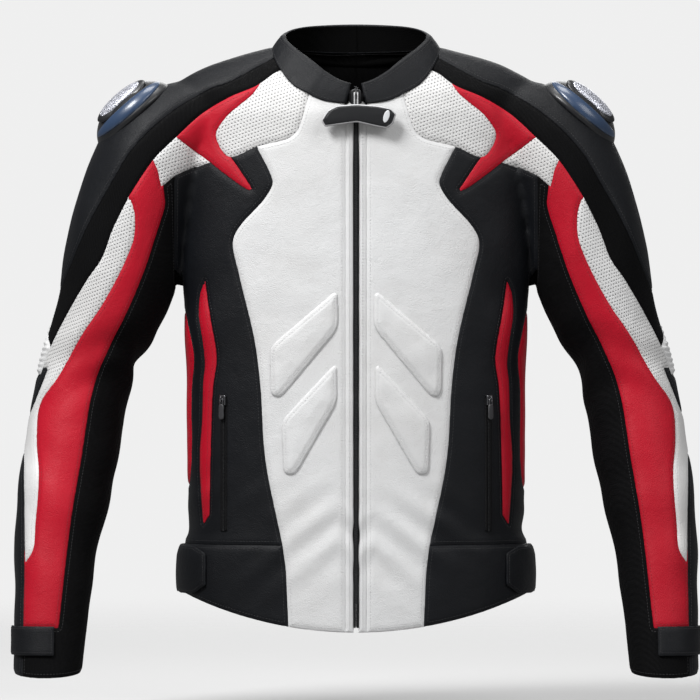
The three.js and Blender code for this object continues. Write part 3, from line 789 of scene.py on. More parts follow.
@dataclass(frozen=True)
class Leather(Finish):
    """Finished hide, smooth or punched with holes.

    Attributes:
        shade: The colour in its darker clouds, and the painted shade in grain valleys and creases.
        worn: The colour of rubbed edges.
        grain: Depth of the grain, in metres.
        sheen: The strength of its top coat.
        shine: How strongly it reflects.
        holes: Whether it is punched.
        holes_end: Height below which the holes stop.
    """

    shade: tuple[float, float, float] = (0.5, 0.5, 0.5)
    worn: tuple[float, float, float] = (0.5, 0.5, 0.5)
    grain: float = 0.00022
    sheen: float = 0.12
    shine: float = 0.4
    holes: bool = False
    holes_end: float = -10.0

    def dress(self, n: Nodes, shader: bpy.types.Node) -> None:
        """Set up grain, creases, clouds of tone, wear and holes, with painted shade in grain valleys and
        creases.
        """
        at = n.add("ShaderNodeTexCoord").outputs["Object"]
        grain, crease = use(n, "grain", at), use(n, "creases", at)
        tone, wear = use(n, "tone", at), use(n, "wear", at)
        base = n.coats(
            rgba(self.colour),
            (tone.outputs["Cloud"], 0.55, self.shade),
            # painted shade in the grain's valleys
            (grain.outputs["Valley"], 0.22, self.shade),
            # painted shade along the creases' low lines
            (crease.outputs["Line"], 0.25, self.shade),
            (wear.outputs["Mask"], 0.5, self.worn),
            (tone.outputs["Dust"], 0.06, (0.6, 0.58, 0.55)),
        )
        height = n.math("MULTIPLY_ADD", crease.outputs["Height"], 5.0, grain.outputs["Height"])
        rough = n.math("MULTIPLY_ADD", grain.outputs["Valley"], 0.12, self.roughness)
        rough = n.math("MULTIPLY_ADD", tone.outputs["Cloud"], 0.08, rough)
        if self.holes:
            holes = use(n, "holes", n.add("ShaderNodeUVMap", uv_map="cloth").outputs[0])
            z = n.add("ShaderNodeSeparateXYZ", {0: at}).outputs[2]
            here = n.ramp(z, self.holes_end - 0.012, self.holes_end + 0.012)
            mask = n.math("MULTIPLY", holes.outputs["Hole"], here)
            base = n.coats(base, (mask, 0.86, (0.06, 0.06, 0.065)))
            sunk = n.math("MULTIPLY", n.math("SUBTRACT", holes.outputs["Height"], 1.0), here)
            height = n.math("MULTIPLY_ADD", sunk, 2.2, height)
        bump = n.add("ShaderNodeBump", {"Height": height, "Distance": self.grain, "Strength": 0.9})
        n.fill(
            shader,
            {
                "Base Color": base,
                "Roughness": rough,
                "Normal": bump.outputs[0],
                "Coat Weight": self.sheen,
                "Coat Roughness": 0.42,
                "Specular IOR Level": self.shine,
            },
        )


@dataclass(frozen=True)
class Cloth(Finish):
    """Woven or knitted cloth.

    Attributes:
        lit: The colour of raised yarns, a painted highlight, and of lighter fuzz.
        yarn: Yarns in each metre.
        rib: Ribs in each metre.
        depth: Height of the weave, in metres.
    """

    lit: tuple[float, float, float] = (0.03, 0.03, 0.03)
    yarn: float = 900.0
    rib: float = 260.0
    depth: float = 0.00025

    def dress(self, n: Nodes, shader: bpy.types.Node) -> None:
        """Set up the weave, its tone with a painted highlight on raised yarns, and a soft sheen."""
        at = n.add("ShaderNodeUVMap", uv_map="cloth").outputs[0]
        weave = use(n, "weave", at, Yarn=self.yarn, Rib=self.rib)
        tone = use(n, "tone", n.add("ShaderNodeTexCoord").outputs["Object"])
        # painted highlight: raised yarns take the lit colour
        base = n.blend(weave.outputs["FuzzAndHighlight"], rgba(self.colour), rgba(self.lit))
        base = n.coats(base, (tone.outputs["Dust"], 0.05, (0.5, 0.5, 0.5)))
        bump = n.add("ShaderNodeBump", {"Height": weave.outputs["Height"], "Distance": self.depth,
                                        "Strength": 1.0})
        n.fill(
            shader,
            {
                "Base Color": base,
                "Normal": bump.outputs[0],
                "Roughness": self.roughness,
                "Specular IOR Level": 0.07,
            },
        )


@dataclass(frozen=True)
class Hard(Finish):
    """Moulded plastic or metal with fine scuffs.

    Attributes:
        metal: Whether it is metal.
        coat: The strength of its clear coat.
        scuff: How much its roughness changes.
        worn: The colour of rubbed edges.
    """

    metal: float = 0.0
    coat: float = 0.0
    scuff: float = 0.12
    worn: tuple[float, float, float] = (0.2, 0.2, 0.2)

    def dress(self, n: Nodes, shader: bpy.types.Node) -> None:
        """Set up scuffs, mould texture and rubbed edges."""
        at = n.add("ShaderNodeTexCoord").outputs["Object"]
        wear, tone = use(n, "wear", at), use(n, "tone", at)
        speck = n.noise(at, 1600.0, 3.0)
        scratch = n.noise(at, 260.0, 6.0)
        worn = (wear.outputs["Mask"], 0.4, self.worn)
        base = n.coats(rgba(self.colour), worn, (tone.outputs["Dust"], 0.08, (0.55, 0.55, 0.53)))
        rough = n.math("MULTIPLY_ADD", scratch.outputs[0], self.scuff, self.roughness - self.scuff / 2)
        bump = n.add("ShaderNodeBump", {"Height": speck.outputs[0], "Distance": 0.00006, "Strength": 0.6})
        n.fill(
            shader,
            {
                "Base Color": base,
                "Roughness": rough,
                "Normal": bump.outputs[0],
                "Metallic": self.metal,
                "Coat Weight": self.coat,
                "Coat Roughness": 0.12,
            },
        )


@dataclass(frozen=True)
class SilverMesh(Finish):
    """A silvered net under a clear face."""

    def dress(self, n: Nodes, shader: bpy.types.Node) -> None:
        """Set up the net's wires and the gaps between them."""
        at = n.add("ShaderNodeTexCoord").outputs["Object"]
        cell = n.add("ShaderNodeTexVoronoi", {"Vector": at, "Scale": 520.0}, feature="DISTANCE_TO_EDGE")
        wire = n.ramp(cell.outputs["Distance"], 0.05, 0.22, 1.0, 0.0)
        base = n.blend(wire, rgba((0.16, 0.17, 0.2)), rgba(self.colour))
        bump = n.add("ShaderNodeBump", {"Height": wire, "Distance": 0.0004, "Strength": 0.8})
        n.fill(
            shader,
            {
                "Base Color": base,
                "Normal": bump.outputs[0],
                "Roughness": self.roughness,
                "Metallic": 0.55,
                "Coat Weight": 0.3,
            },
        )


@dataclass(frozen=True)
class FadingFloor(Finish):
    """A pale floor that fades out toward its edge.

    Attributes:
        reach: The floor's radius.
        bounce: The share of its colour that lights the garment.
    """

    reach: float = 3.0
    bounce: float = 0.45

    def dress(self, n: Nodes, shader: bpy.types.Node) -> None:
        """Set up the colour and the fade."""
        super().dress(n, shader)
        seen = n.add("ShaderNodeLightPath").outputs["Is Camera Ray"]
        dim = rgba(tuple(c * self.bounce for c in self.colour))
        n.fill(shader, {"Base Color": n.blend(seen, dim, rgba(self.colour))})
        at = n.add("ShaderNodeTexCoord").outputs["Object"]
        flat = n.add("ShaderNodeVectorMath", {0: at, 1: (1.0, 1.0, 0.0)}, operation="MULTIPLY").outputs[0]
        far = n.add("ShaderNodeVectorMath", {0: flat}, operation="LENGTH").outputs["Value"]
        n.fill(shader, {"Alpha": n.ramp(far, 0.4, self.reach * 0.95, 1.0, 0.0)})


FINISHES: dict[Fabric, Finish] = {
    Fabric.WHITE: Leather("white_leather", (0.69, 0.695, 0.70), 0.5, shade=(0.585, 0.58, 0.575),
                          worn=(0.8, 0.8, 0.8)),
    Fabric.PERFORATED: Leather(
        "perforated_leather", (0.67, 0.67, 0.67), 0.52, shade=(0.55, 0.54, 0.53), worn=(0.78, 0.78, 0.78),
        holes=True, holes_end=-0.305,
    ),
    Fabric.RED: Leather(
        "red_leather", (0.46, 0.003, 0.018), 0.46, shade=(0.34, 0.002, 0.012), worn=(0.60, 0.03, 0.06),
        sheen=0.04, shine=0.2
    ),
    Fabric.BLACK: Leather(
        "black_leather", (0.0048, 0.0056, 0.0076), 0.47, shade=(0.0026, 0.003, 0.004),
        worn=(0.02, 0.022, 0.027), sheen=0.04,
        shine=0.17,
    ),
    Fabric.STRETCH: Cloth("stretch_weave", (0.0016, 0.0016, 0.0018), 0.8, lit=(0.0045, 0.0045, 0.005)),
    Fabric.LINING: Cloth("lining_mesh", (0.0012, 0.0012, 0.0013), 0.95, lit=(0.0024, 0.0024, 0.0025),
                         yarn=420.0, rib=140.0),
    Fabric.TAPE: Cloth("zip_tape", (0.006, 0.006, 0.0065), 0.8, lit=(0.014, 0.014, 0.015), yarn=1400.0,
                       rib=700.0),
    Fabric.METAL: Hard("coated_metal", (0.16, 0.16, 0.17), 0.34, metal=1.0, worn=(0.5, 0.5, 0.5)),
    Fabric.MOULDED: Hard("moulded_black", (0.006, 0.0065, 0.008), 0.4, coat=0.15, worn=(0.05, 0.05, 0.055)),
    Fabric.BADGE: Hard("pale_inset", (0.62, 0.63, 0.65), 0.35, coat=0.3, worn=(0.7, 0.7, 0.7)),
    Fabric.MESH: SilverMesh("silver_mesh", (0.68, 0.69, 0.76), 0.3),
}
WHITE_THREAD = Finish("white_thread", (0.62, 0.62, 0.62), 0.6)
BLACK_THREAD = Finish("black_thread", (0.02, 0.02, 0.022), 0.5)
THREADS: dict[Fabric, Finish] = {
    Fabric.WHITE: WHITE_THREAD,
    Fabric.PERFORATED: WHITE_THREAD,
    Fabric.RED: Finish("red_thread", (0.30, 0.008, 0.02), 0.6),
    Fabric.BLACK: BLACK_THREAD,
    Fabric.STRETCH: BLACK_THREAD,
}
GLOSS_BLUE = Hard("gloss_blue_grey", (0.022, 0.045, 0.095), 0.34, coat=0.25, scuff=0.05,
                  worn=(0.2, 0.26, 0.36))
PALE_EDGE = Hard("pale_edge", (0.46, 0.46, 0.47), 0.35, coat=0.2)
GREY_TAG = Hard("grey_tag", (0.035, 0.035, 0.038), 0.45, worn=(0.35, 0.35, 0.35))


# ---------------------------------------------------------------- the garment's form


@dataclass
class Form:
    """The filled-out jacket as one surface, right half described and both built.

    Attributes:
        torso: Height, half width, back depth and squareness of the body, in millimetres.
        shoulder: Height and front depth above the chest, in millimetres.
        sleeve: Centre x, y, z, half width and half depth of the right sleeve, in millimetres.
        neck: Half width, front and back depth of the neck seam, in millimetres.
        neck_power: Squareness of the neck seam's front; 2 is an ellipse.
        slope: How far the front centre leans out for each unit down.
        voxel: Size of the surface's cells.
    """

    torso: tuple[tuple[float, ...], ...] = (
        (-620, 191, 105, 2.4), (-548, 194, 107, 2.4), (-520, 196, 108, 2.4), (-494, 194, 107, 2.4),
        (-476, 184, 104, 2.4), (-420, 186, 107, 2.4), (-260, 188, 117, 2.4), (-200, 192, 118, 2.4),
        (-90, 192, 113, 2.4), (-50, 194, 102, 2.2), (-15, 202, 88, 2.0), (8, 203, 78, 2.0),
        (22, 195, 72, 2.0), (33, 175, 68, 2.0), (42, 154, 66, 2.0), (51, 124, 64, 2.0), (59, 94, 58, 2.0),
    )
    shoulder: tuple[tuple[float, float], ...] = (
        (-50, 77.5), (-15, 75), (8, 67), (22, 57), (33, 50), (42, 43), (51, 35), (59, 28),
    )
    sleeve: tuple[tuple[float, ...], ...] = (
        (-140, 5, -20, 40, 45), (-184, 4, -26, 50, 55), (-214, 2, -48, 60, 63), (-234, 0, -86, 63, 67),
        (-249, -2, -135, 64, 68), (-258, -4, -180, 65, 67), (-270, -6, -225, 60, 64),
        (-289, -7, -268, 52, 60),
        (-298, -9, -300, 52, 57), (-307, -20, -350, 52, 55), (-314, -34, -397, 52, 54),
        (-322, -49, -443, 50, 51),
        (-328, -66, -497, 45, 47), (-331, -83, -550, 41, 43), (-334, -104, -616, 37.5, 39),
        (-335.4, -113.5, -646, 36.5, 38),
    )
    neck: tuple[float, float, float] = (86.5, 68.5, 58.0)
    neck_power: float = 2.7
    slope: float = 0.07
    voxel: float = 3.6 * MM

    def front_depth(self, z: Array) -> Array:
        """Depth of the front centre at heights in millimetres."""
        table = np.array(self.shoulder)
        straight = 74 - self.slope * z
        return np.where(z < table[0, 0], straight, np.interp(z, table[:, 0], table[:, 1]))

    def top_at(self, x: float, y: float) -> float:
        """Height of the body's surface over a place seen from above, in metres."""
        z = np.arange(-60, 59.5, 0.5)
        table = np.array(self.torso)
        half, back, power = (np.interp(z, table[:, 0], table[:, k]) for k in (1, 2, 3))
        depth = self.front_depth(z) if y < 0 else back
        inside = np.abs(x / MM / half) ** power + np.abs(y / MM / depth) ** power < 1
        return float(z[inside].max() if inside.any() else z[0]) * MM

    def axis(self, z: Array) -> Array:
        """The right sleeve's centre x and y at heights in metres."""
        table = np.array(self.sleeve)[::-1] * MM
        return np.stack([np.interp(z, table[:, 2], table[:, 0]), np.interp(z, table[:, 2], table[:, 1])],
                        axis=-1)

    def split_y(self, u: Array, z: Array) -> Array:
        """Where front meets back: the side seam, or a sleeve's centre line."""
        on_sleeve = np.clip((-u - 0.195) / 0.015, 0, 1)
        return on_sleeve * np.where(z < -0.1, self.axis(z)[..., 1], 0.0)

    def _torso_rings(self) -> Array:
        """Rings of the body, bottom to top."""
        table = np.array(self.torso)
        z = np.concatenate([np.arange(-620, -60, 12.0), np.arange(-60, 60, 5.0), [59.0]])
        half, back, power = (np.interp(z, table[:, 0], table[:, k]) for k in (1, 2, 3))
        front = self.front_depth(z)
        t = np.linspace(0, math.tau, 96, endpoint=False) - math.pi / 2
        c, s = np.cos(t)[None], np.sin(t)[None]
        e = (2 / power)[:, None]
        x = half[:, None] * np.sign(c) * np.abs(c) ** e
        depth = np.where(s < 0, front[:, None], back[:, None])
        y = depth * np.sign(s) * np.abs(s) ** e
        return np.stack([x, y, np.broadcast_to(z[:, None], x.shape)], axis=2) * MM

    def _sleeve_rings(self) -> Array:
        """Rings of the right sleeve, shoulder to beyond the cuff."""
        table = np.array(self.sleeve) * MM
        far = np.concatenate([[0], np.cumsum(np.linalg.norm(np.diff(table[:, :3], axis=0), axis=1))])
        s = np.arange(0, far[-1], 8 * MM)
        rows = []
        for at in s:
            k = min(int(np.searchsorted(far, at, side="right")) - 1, len(far) - 2)
            f = (at - far[k]) / (far[k + 1] - far[k])
            p0, p1 = table[max(k - 1, 0)], table[k]
            p2, p3 = table[k + 1], table[min(k + 2, len(far) - 1)]
            m1, m2 = (p2 - p0) / 2, (p3 - p1) / 2
            start = (2 * f**3 - 3 * f**2 + 1) * p1 + (f**3 - 2 * f**2 + f) * m1
            rows.append(start + (3 * f**2 - 2 * f**3) * p2 + (f**3 - f**2) * m2)
        rows = np.array(rows)
        along = unit(np.gradient(rows[:, :3], axis=0))
        across = unit(np.cross(along, [0.0, 1.0, 0.0]))
        fore = np.cross(across, along)
        t = np.linspace(0, math.tau, 64, endpoint=False)[None, :, None]
        return (
            rows[:, None, :3]
            + across[:, None] * rows[:, None, 3:4] * np.cos(t)
            + fore[:, None] * rows[:, None, 4:5] * np.sin(t)
        )

    def surface(self) -> Skin:
        """The whole outside as one even skin, with its folds."""
        draft = Draft()
        right = self._sleeve_rings()
        left = right[:, ::-1] * np.array([-1.0, 1.0, 1.0])
        for rings in (self._torso_rings(), right, left):
            draft.add(rings.reshape(-1, 3), tube_rows(rings, True))
            draft.cap(rings[0])
            draft.cap(rings[-1])
        raw = draft.build("form", [])
        weld = raw.modifiers.new("weld", "WELD")
        weld.merge_threshold = 1e-5
        mesh_cells = raw.modifiers.new("cells", "REMESH")
        mesh_cells.mode = "VOXEL"
        mesh_cells.voxel_size = self.voxel
        relax = raw.modifiers.new("relax", "SMOOTH")
        relax.factor = 0.5
        relax.iterations = 10
        done = raw.evaluated_get(bpy.context.evaluated_depsgraph_get()).to_mesh()
        done.calc_loop_triangles()
        v = np.empty(len(done.vertices) * 3)
        done.vertices.foreach_get("co", v)
        n = np.empty(len(done.vertices) * 3)
        done.vertices.foreach_get("normal", n)
        f = np.empty(len(done.loop_triangles) * 3, np.int32)
        done.loop_triangles.foreach_get("vertices", f)
        bpy.data.objects.remove(raw)
        return self._folded(Skin(v.reshape(-1, 3), n.reshape(-1, 3), f.reshape(-1, 3).astype(int)))

    def _folded(self, skin: Skin) -> Skin:
        """Move the surface along its normals into soft folds."""
        x, y, z = skin.v.T
        u = -np.abs(x)
        body = np.clip((0.21 + u) / 0.03, 0, 1)
        arm = 1 - np.clip((0.225 + u) / 0.03, 0, 1)
        swell = 0.7 * noise_at(skin.v, 16.0) + 0.5 * noise_at(skin.v, 31.0, 4.0)
        move = 0.9 * swell
        low = bell(z + 0.475, 0.055) * body
        slant = np.sin((z + 0.8 * np.abs(u + 0.02)) / 0.0066 + 1.8 * noise_at(skin.v, 8.0, 2.0))
        move += 1.9 * slant * low * np.clip(0.35 + 1.1 * noise_at(skin.v, 10.0, 9.0), 0, 1)
        pit = bell(z + 0.235, 0.07) * bell(u + 0.172, 0.035) * body
        move += 2.4 * np.sin((z - 0.5 * u) / 0.0155) * pit
        centre = self.axis(z)
        angle = np.arctan2(y - centre[:, 1], u - centre[:, 0])
        bend = bell(z + 0.285, 0.05) * arm
        inner = np.clip(-np.sin(angle), 0, 1) * 0.6 + np.clip(np.cos(angle), 0, 1)
        ripple = np.sin((z + 0.018 * np.sin(angle * 2 + 0.7)) / 0.0085 + noise_at(skin.v, 12.0, 5.0) * 1.8)
        move += 1.9 * ripple * bend * inner
        upper = bell(z + 0.13, 0.075) * arm * np.clip(-np.sin(angle), 0, 1)
        move += 1.8 * np.sin(angle * 5.5 + z * 26 + noise_at(skin.v, 7.0, 1.0)) * upper
        lower = bell(z + 0.46, 0.09) * arm
        move += 1.0 * np.sin((z + 0.02 * np.cos(angle)) / 0.012 + 2.5 * noise_at(skin.v, 10.0, 7.0)) * lower
        v = skin.v + skin.n * (move * MM)[:, None]
        return Skin(v, point_normals(v, skin.f), skin.f)


# ---------------------------------------------------------------- seams


@dataclass
class Seams:
    """Every seam of the right side, in millimetres, x and z seen from the front.

    Attributes:
        form: The garment's form.
        zip_slot: Half width of the gap between the fronts.
        placket: Half width of the strips beside the zip.
        armhole: Where the sleeves begin, across.
        band_top: Height of the waistband's upper seam.
    """

    form: Form
    zip_slot: float = 2.7
    placket: float = 11.5
    armhole: float = -198.0
    band_top: float = -487.0

    BAND_UPPER = (
        (-45, 70), (-78, 54), (-139, 20), (-161, 12), (-187, -3), (-215, -24), (-246, -56), (-273, -100),
        (-297, -143), (-322, -199), (-350, -252),
    )
    BAND_LOWER = (
        (-45, 36), (-84, 32), (-109, 15), (-139, 2), (-166, -14), (-196, -42), (-220, -66), (-233, -84),
        (-248, -107),
    )
    STRIP_OUTER = ((-248, -107), (-266, -143), (-278, -175), (-295, -199), (-320, -240), (-336, -271),
                   (-348, -303))
    STRIP_CUFF = ((-348, -303), (-360, -345), (-365, -385), (-363, -430), (-361, -482), (-360, -506))
    STRIP_RED = (
        (-360, -506), (-351, -491), (-349, -464), (-346, -410), (-350, -370), (-347, -334), (-327, -305),
        (-298, -256),
        (-278, -227), (-263, -201), (-249, -172), (-242, -151), (-242, -124), (-248, -107),
    )
    RED_INNER = (
        (-213, -58), (-211, -84), (-209, -104), (-208, -116), (-218, -150), (-230, -187), (-254, -243),
        (-267, -268),
        (-286, -315), (-299, -396), (-309, -460), (-321, -575),
    )
    WHITE_EDGE = (
        (-109, -53), (-103, -64), (-94, -82), (-91, -93), (-100, -110), (-128, -141), (-135, -157),
        (-128, -193),
        (-111, -264), (-104, -320), (-101, -374), (-97, -407), (-89, -446), (-78, -500), (-74, -563),
    )
    PERFORATED = (
        (-90, 36), (-48, 42), (-51, 8), (-55, -8), (-61, -28), (-65, -37), (-74, -44), (-109, -53),
        (-139, -64),
        (-151, -50), (-154, -38), (-149, -28), (-139, -16), (-128, -7), (-113, 6),
    )
    FLASH_LOWER = ((-204, -36), (-161, -69), (-139, -86), (-122, -98), (-111, -103))
    FLASH_TIP = ((-111, -103), (-121, -88), (-131, -73), (-139, -62))
    STRIPE_INNER = ((-166, -200), (-163, -222), (-160, -240), (-153, -284), (-157, -315), (-160, -396),
                    (-161, -455))
    STRIPE_OUTER = (
        (-168, -466), (-172, -396), (-169, -350), (-168, -310), (-166, -290), (-169, -262), (-173, -235),
        (-171, -212),
        (-166, -200),
    )
    SIDE_STRIPE = (
        (-196, -188), (-191, -223), (-184, -256), (-179, -282), (-182, -320), (-182, -396), (-187, -430),
        (-206, -452),
        (-226, -452), (-226, -188),
    )
    ELBOW_PATCH = ((-344, -253), (-336, -271), (-348, -302), (-420, -292), (-420, -246))
    BACK_YOKE = ((-66, 90), (-92, 40), (-150, -20), (-215, -70), (-247, -135), (-263, -200))

    def field(self, outline: Array, where: Where = Where.FRONT,
              back_limit: float | None = None) -> Callable[[Skin], Array]:
        """A field that is negative inside an outline on one face of the garment."""

        def phi(skin: Skin) -> Array:
            view = right_view(skin)
            inside = signed_distance(view, outline)
            seam = self.form.split_y(*view.T) if back_limit is None else back_limit
            depth = skin.v[:, 1] - seam
            return np.maximum(inside, depth if where is Where.FRONT else -depth)

        return phi

    def both(self, *fields: Callable[[Skin], Array]) -> Callable[[Skin], Array]:
        """A field that is negative inside any of several."""
        return lambda skin: np.minimum.reduce([phi(skin) for phi in fields])

    def openings(self) -> Callable[[Skin], Array]:
        """Negative on the garment, positive where neck, hem and cuffs are open."""

        def phi(skin: Skin) -> Array:
            x, y, z = skin.v.T
            half, fore, aft = (k * MM for k in self.form.neck)
            depth = np.where(y < 0, fore, aft)
            power = np.where(y < 0, self.form.neck_power, 2.0)
            ring = (np.abs(x / half) ** power + np.abs(y / depth) ** power) ** (1 / power)
            neck = np.where(z > -0.06, (1 - ring) * np.minimum(half, depth), -1)
            front = -0.581 + 0.040 * (x / 0.190) ** 2
            hem = np.where(y < 0, front, 0.4 * front - 0.6 * 0.541 - 0.003) - z
            hem = np.where(np.abs(x) < 0.215, hem, -1)
            cuff = np.where(np.abs(x) < 0.25, -1, -0.6235 + 0.1 * (y + 0.1) - z)
            return np.maximum.reduce([neck, hem, cuff])

        return phi

    def cut(self, skin: Skin) -> dict[str, Skin]:
        """Cut the garment into its panels, both sides together.

        Args:
            skin: The garment with its openings cut.
        Returns:
            Each panel's skin by name.
        """
        upper, strip = smooth_curve(self.BAND_UPPER), smooth_curve(self.STRIP_OUTER)
        cuff, red = smooth_curve(self.STRIP_CUFF), smooth_curve(self.STRIP_RED)
        beyond = corners([(-700, -252), (-700, 200), (-40, 200)])
        spine = [(x, z) for x, _, z, *_ in self.form.sleeve[6:]]
        front, back = Where.FRONT, Where.BACK
        outer = self.both(
            self.field(np.vstack([upper, beyond]), front),
            self.field(corners([(-338, -294), (-361, -350), (-365, -385), (-363, -430), (-361, -482),
                                (-361, -700),
                                (-700, -700), (-700, -294)]), front),
            self.field(np.vstack([smooth_curve(self.BACK_YOKE), corners([*spine, (-337, -700), (-700, -700),
                                                                         (-700, 200), (-66, 200)])]), back),
        )
        patch = self.both(
            self.field(corners(self.ELBOW_PATCH), front),
            self.field(corners([(-262, -246), (-262, -306), (-420, -300), (-420, -246)]), back),
        )
        order: list[tuple[str, Callable[[Skin], Array]]] = [
            ("slot", lambda s: np.where(s.v[:, 1] < 0, np.abs(s.v[:, 0]) - self.zip_slot * MM, 1.0)),
            ("placket", lambda s: np.maximum(np.abs(s.v[:, 0]) - self.placket * MM, s.v[:, 1])),
            ("elbow_ribs", patch),
            ("stretch_band", self.field(np.vstack([upper, corners([(-372, -300)]), strip[::-1],
                                                   smooth_curve(self.BAND_LOWER)[::-1][1:]]))),
            ("forearm_outer", lambda s: np.maximum(outer(s), s.v[:, 2] + 0.278)),
            ("shoulder", outer),
            ("chest_holes", self.field(closed_curve(self.PERFORATED))),
            ("flash", self.field(np.vstack([corners([(-80, 60), (-196, -20)]), smooth_curve(self.FLASH_LOWER),
                                            smooth_curve(self.FLASH_TIP)[1:],
                                            corners([(-110, -30), (-80, 0)])]))),
            ("patch", self.field(corners([(-190, -30), (-240, -66), (-222, -66), (-216, -79), (-212, -97),
                                          (-198, -85),
                                          (-182, -77), (-150, -66)]))),
            ("arm_strip", self.field(np.vstack([strip, cuff[1:], red[1:-1]]))),
            ("arm_red", self.field(np.vstack([smooth_curve(self.RED_INNER), corners([
                (-362, -575), (-362, -506), (-356, -440), (-356, -350), (-318, -280), (-262, -150),
                (-252, -100),
                (-236, -70)])]))),
            ("front", self.field(np.vstack([corners([(10, 30), (10, -700), (-72, -700)]),
                                            smooth_curve(self.WHITE_EDGE)[::-1],
                                            corners([(-90, -30), (-60, 30)])]))),
            ("stripe", self.field(np.vstack([smooth_curve(self.STRIPE_INNER),
                                             smooth_curve(self.STRIPE_OUTER)[:-1]]))),
            ("arm_inner", lambda s: -self.armhole * MM - np.abs(s.v[:, 0])),
            ("waistband", lambda s: s.v[:, 2] - self.band_top * MM),
            ("side_stripe", self.field(closed_curve(self.SIDE_STRIPE, 3), front, 0.022)),
            ("side", lambda s: s.v[:, 1]),
        ]
        found: dict[str, Skin] = {}
        rest = skin
        for name, phi in order:
            found[name], rest = rest.cut(phi)
        found["back"] = rest
        del found["slot"]
        return found


def right_view(skin: Skin) -> Array:
    """A skin's points seen from the front, all brought to the right side."""
    return np.stack([-np.abs(skin.v[:, 0]), skin.v[:, 2]], 1)


def one_side(skin: Skin, sign: float) -> Skin:
    """The triangles of a skin on one side of the centre."""
    return skin.part(skin.v[skin.f][:, :, 0].mean(1) * sign > 0)


def largest(skin: Skin) -> Skin:
    """A skin without loose crumbs: its biggest connected part."""
    label = np.arange(len(skin.v))
    while True:
        low = label[skin.f].min(1)
        new = label.copy()
        for k in range(3):
            np.minimum.at(new, skin.f[:, k], low)
        new = new[new]
        if (new == label).all():
            break
        label = new
    names, count = np.unique(label[skin.f[:, 0]], return_counts=True)
    return skin.part(label[skin.f[:, 0]] == names[count.argmax()])


# ---------------------------------------------------------------- sewn panels


@dataclass(frozen=True)
class PanelSpec:
    """How one cut panel is sewn in.

    Attributes:
        name: The piece's name, with {side} where there are two.
        skin: The name of the skin it is made from.
        fabric: Its finish.
        nodes: The solid nodes it stands for.
        lift: How far it stands above the shell.
        stitched: Whether a row of stitches runs inside its edge.
        bends: Whether it crosses the elbow.
        ribs: Height of the ribs pressed across it.
    """

    name: str
    skin: str
    fabric: Fabric
    nodes: tuple[str, ...]
    lift: float = 0.0
    stitched: bool = True
    bends: bool = False
    ribs: float = 0.0


@dataclass
class ElbowBend:
    """Where the sleeves bend.

    Attributes:
        pivot: The right elbow's pivot.
        reach: How far above and below it the cloth turns; not used.
    """

    pivot: tuple[float, float, float] = (-0.291, -0.008, -0.279)
    reach: float = 0.055

    def apply(self, piece: bpy.types.Object, side: str) -> None:
        """Bake a piece's placement into its mesh; no bend is set up."""
        x, y, z = self.pivot
        x *= -SIDES[side]
        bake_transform(piece)


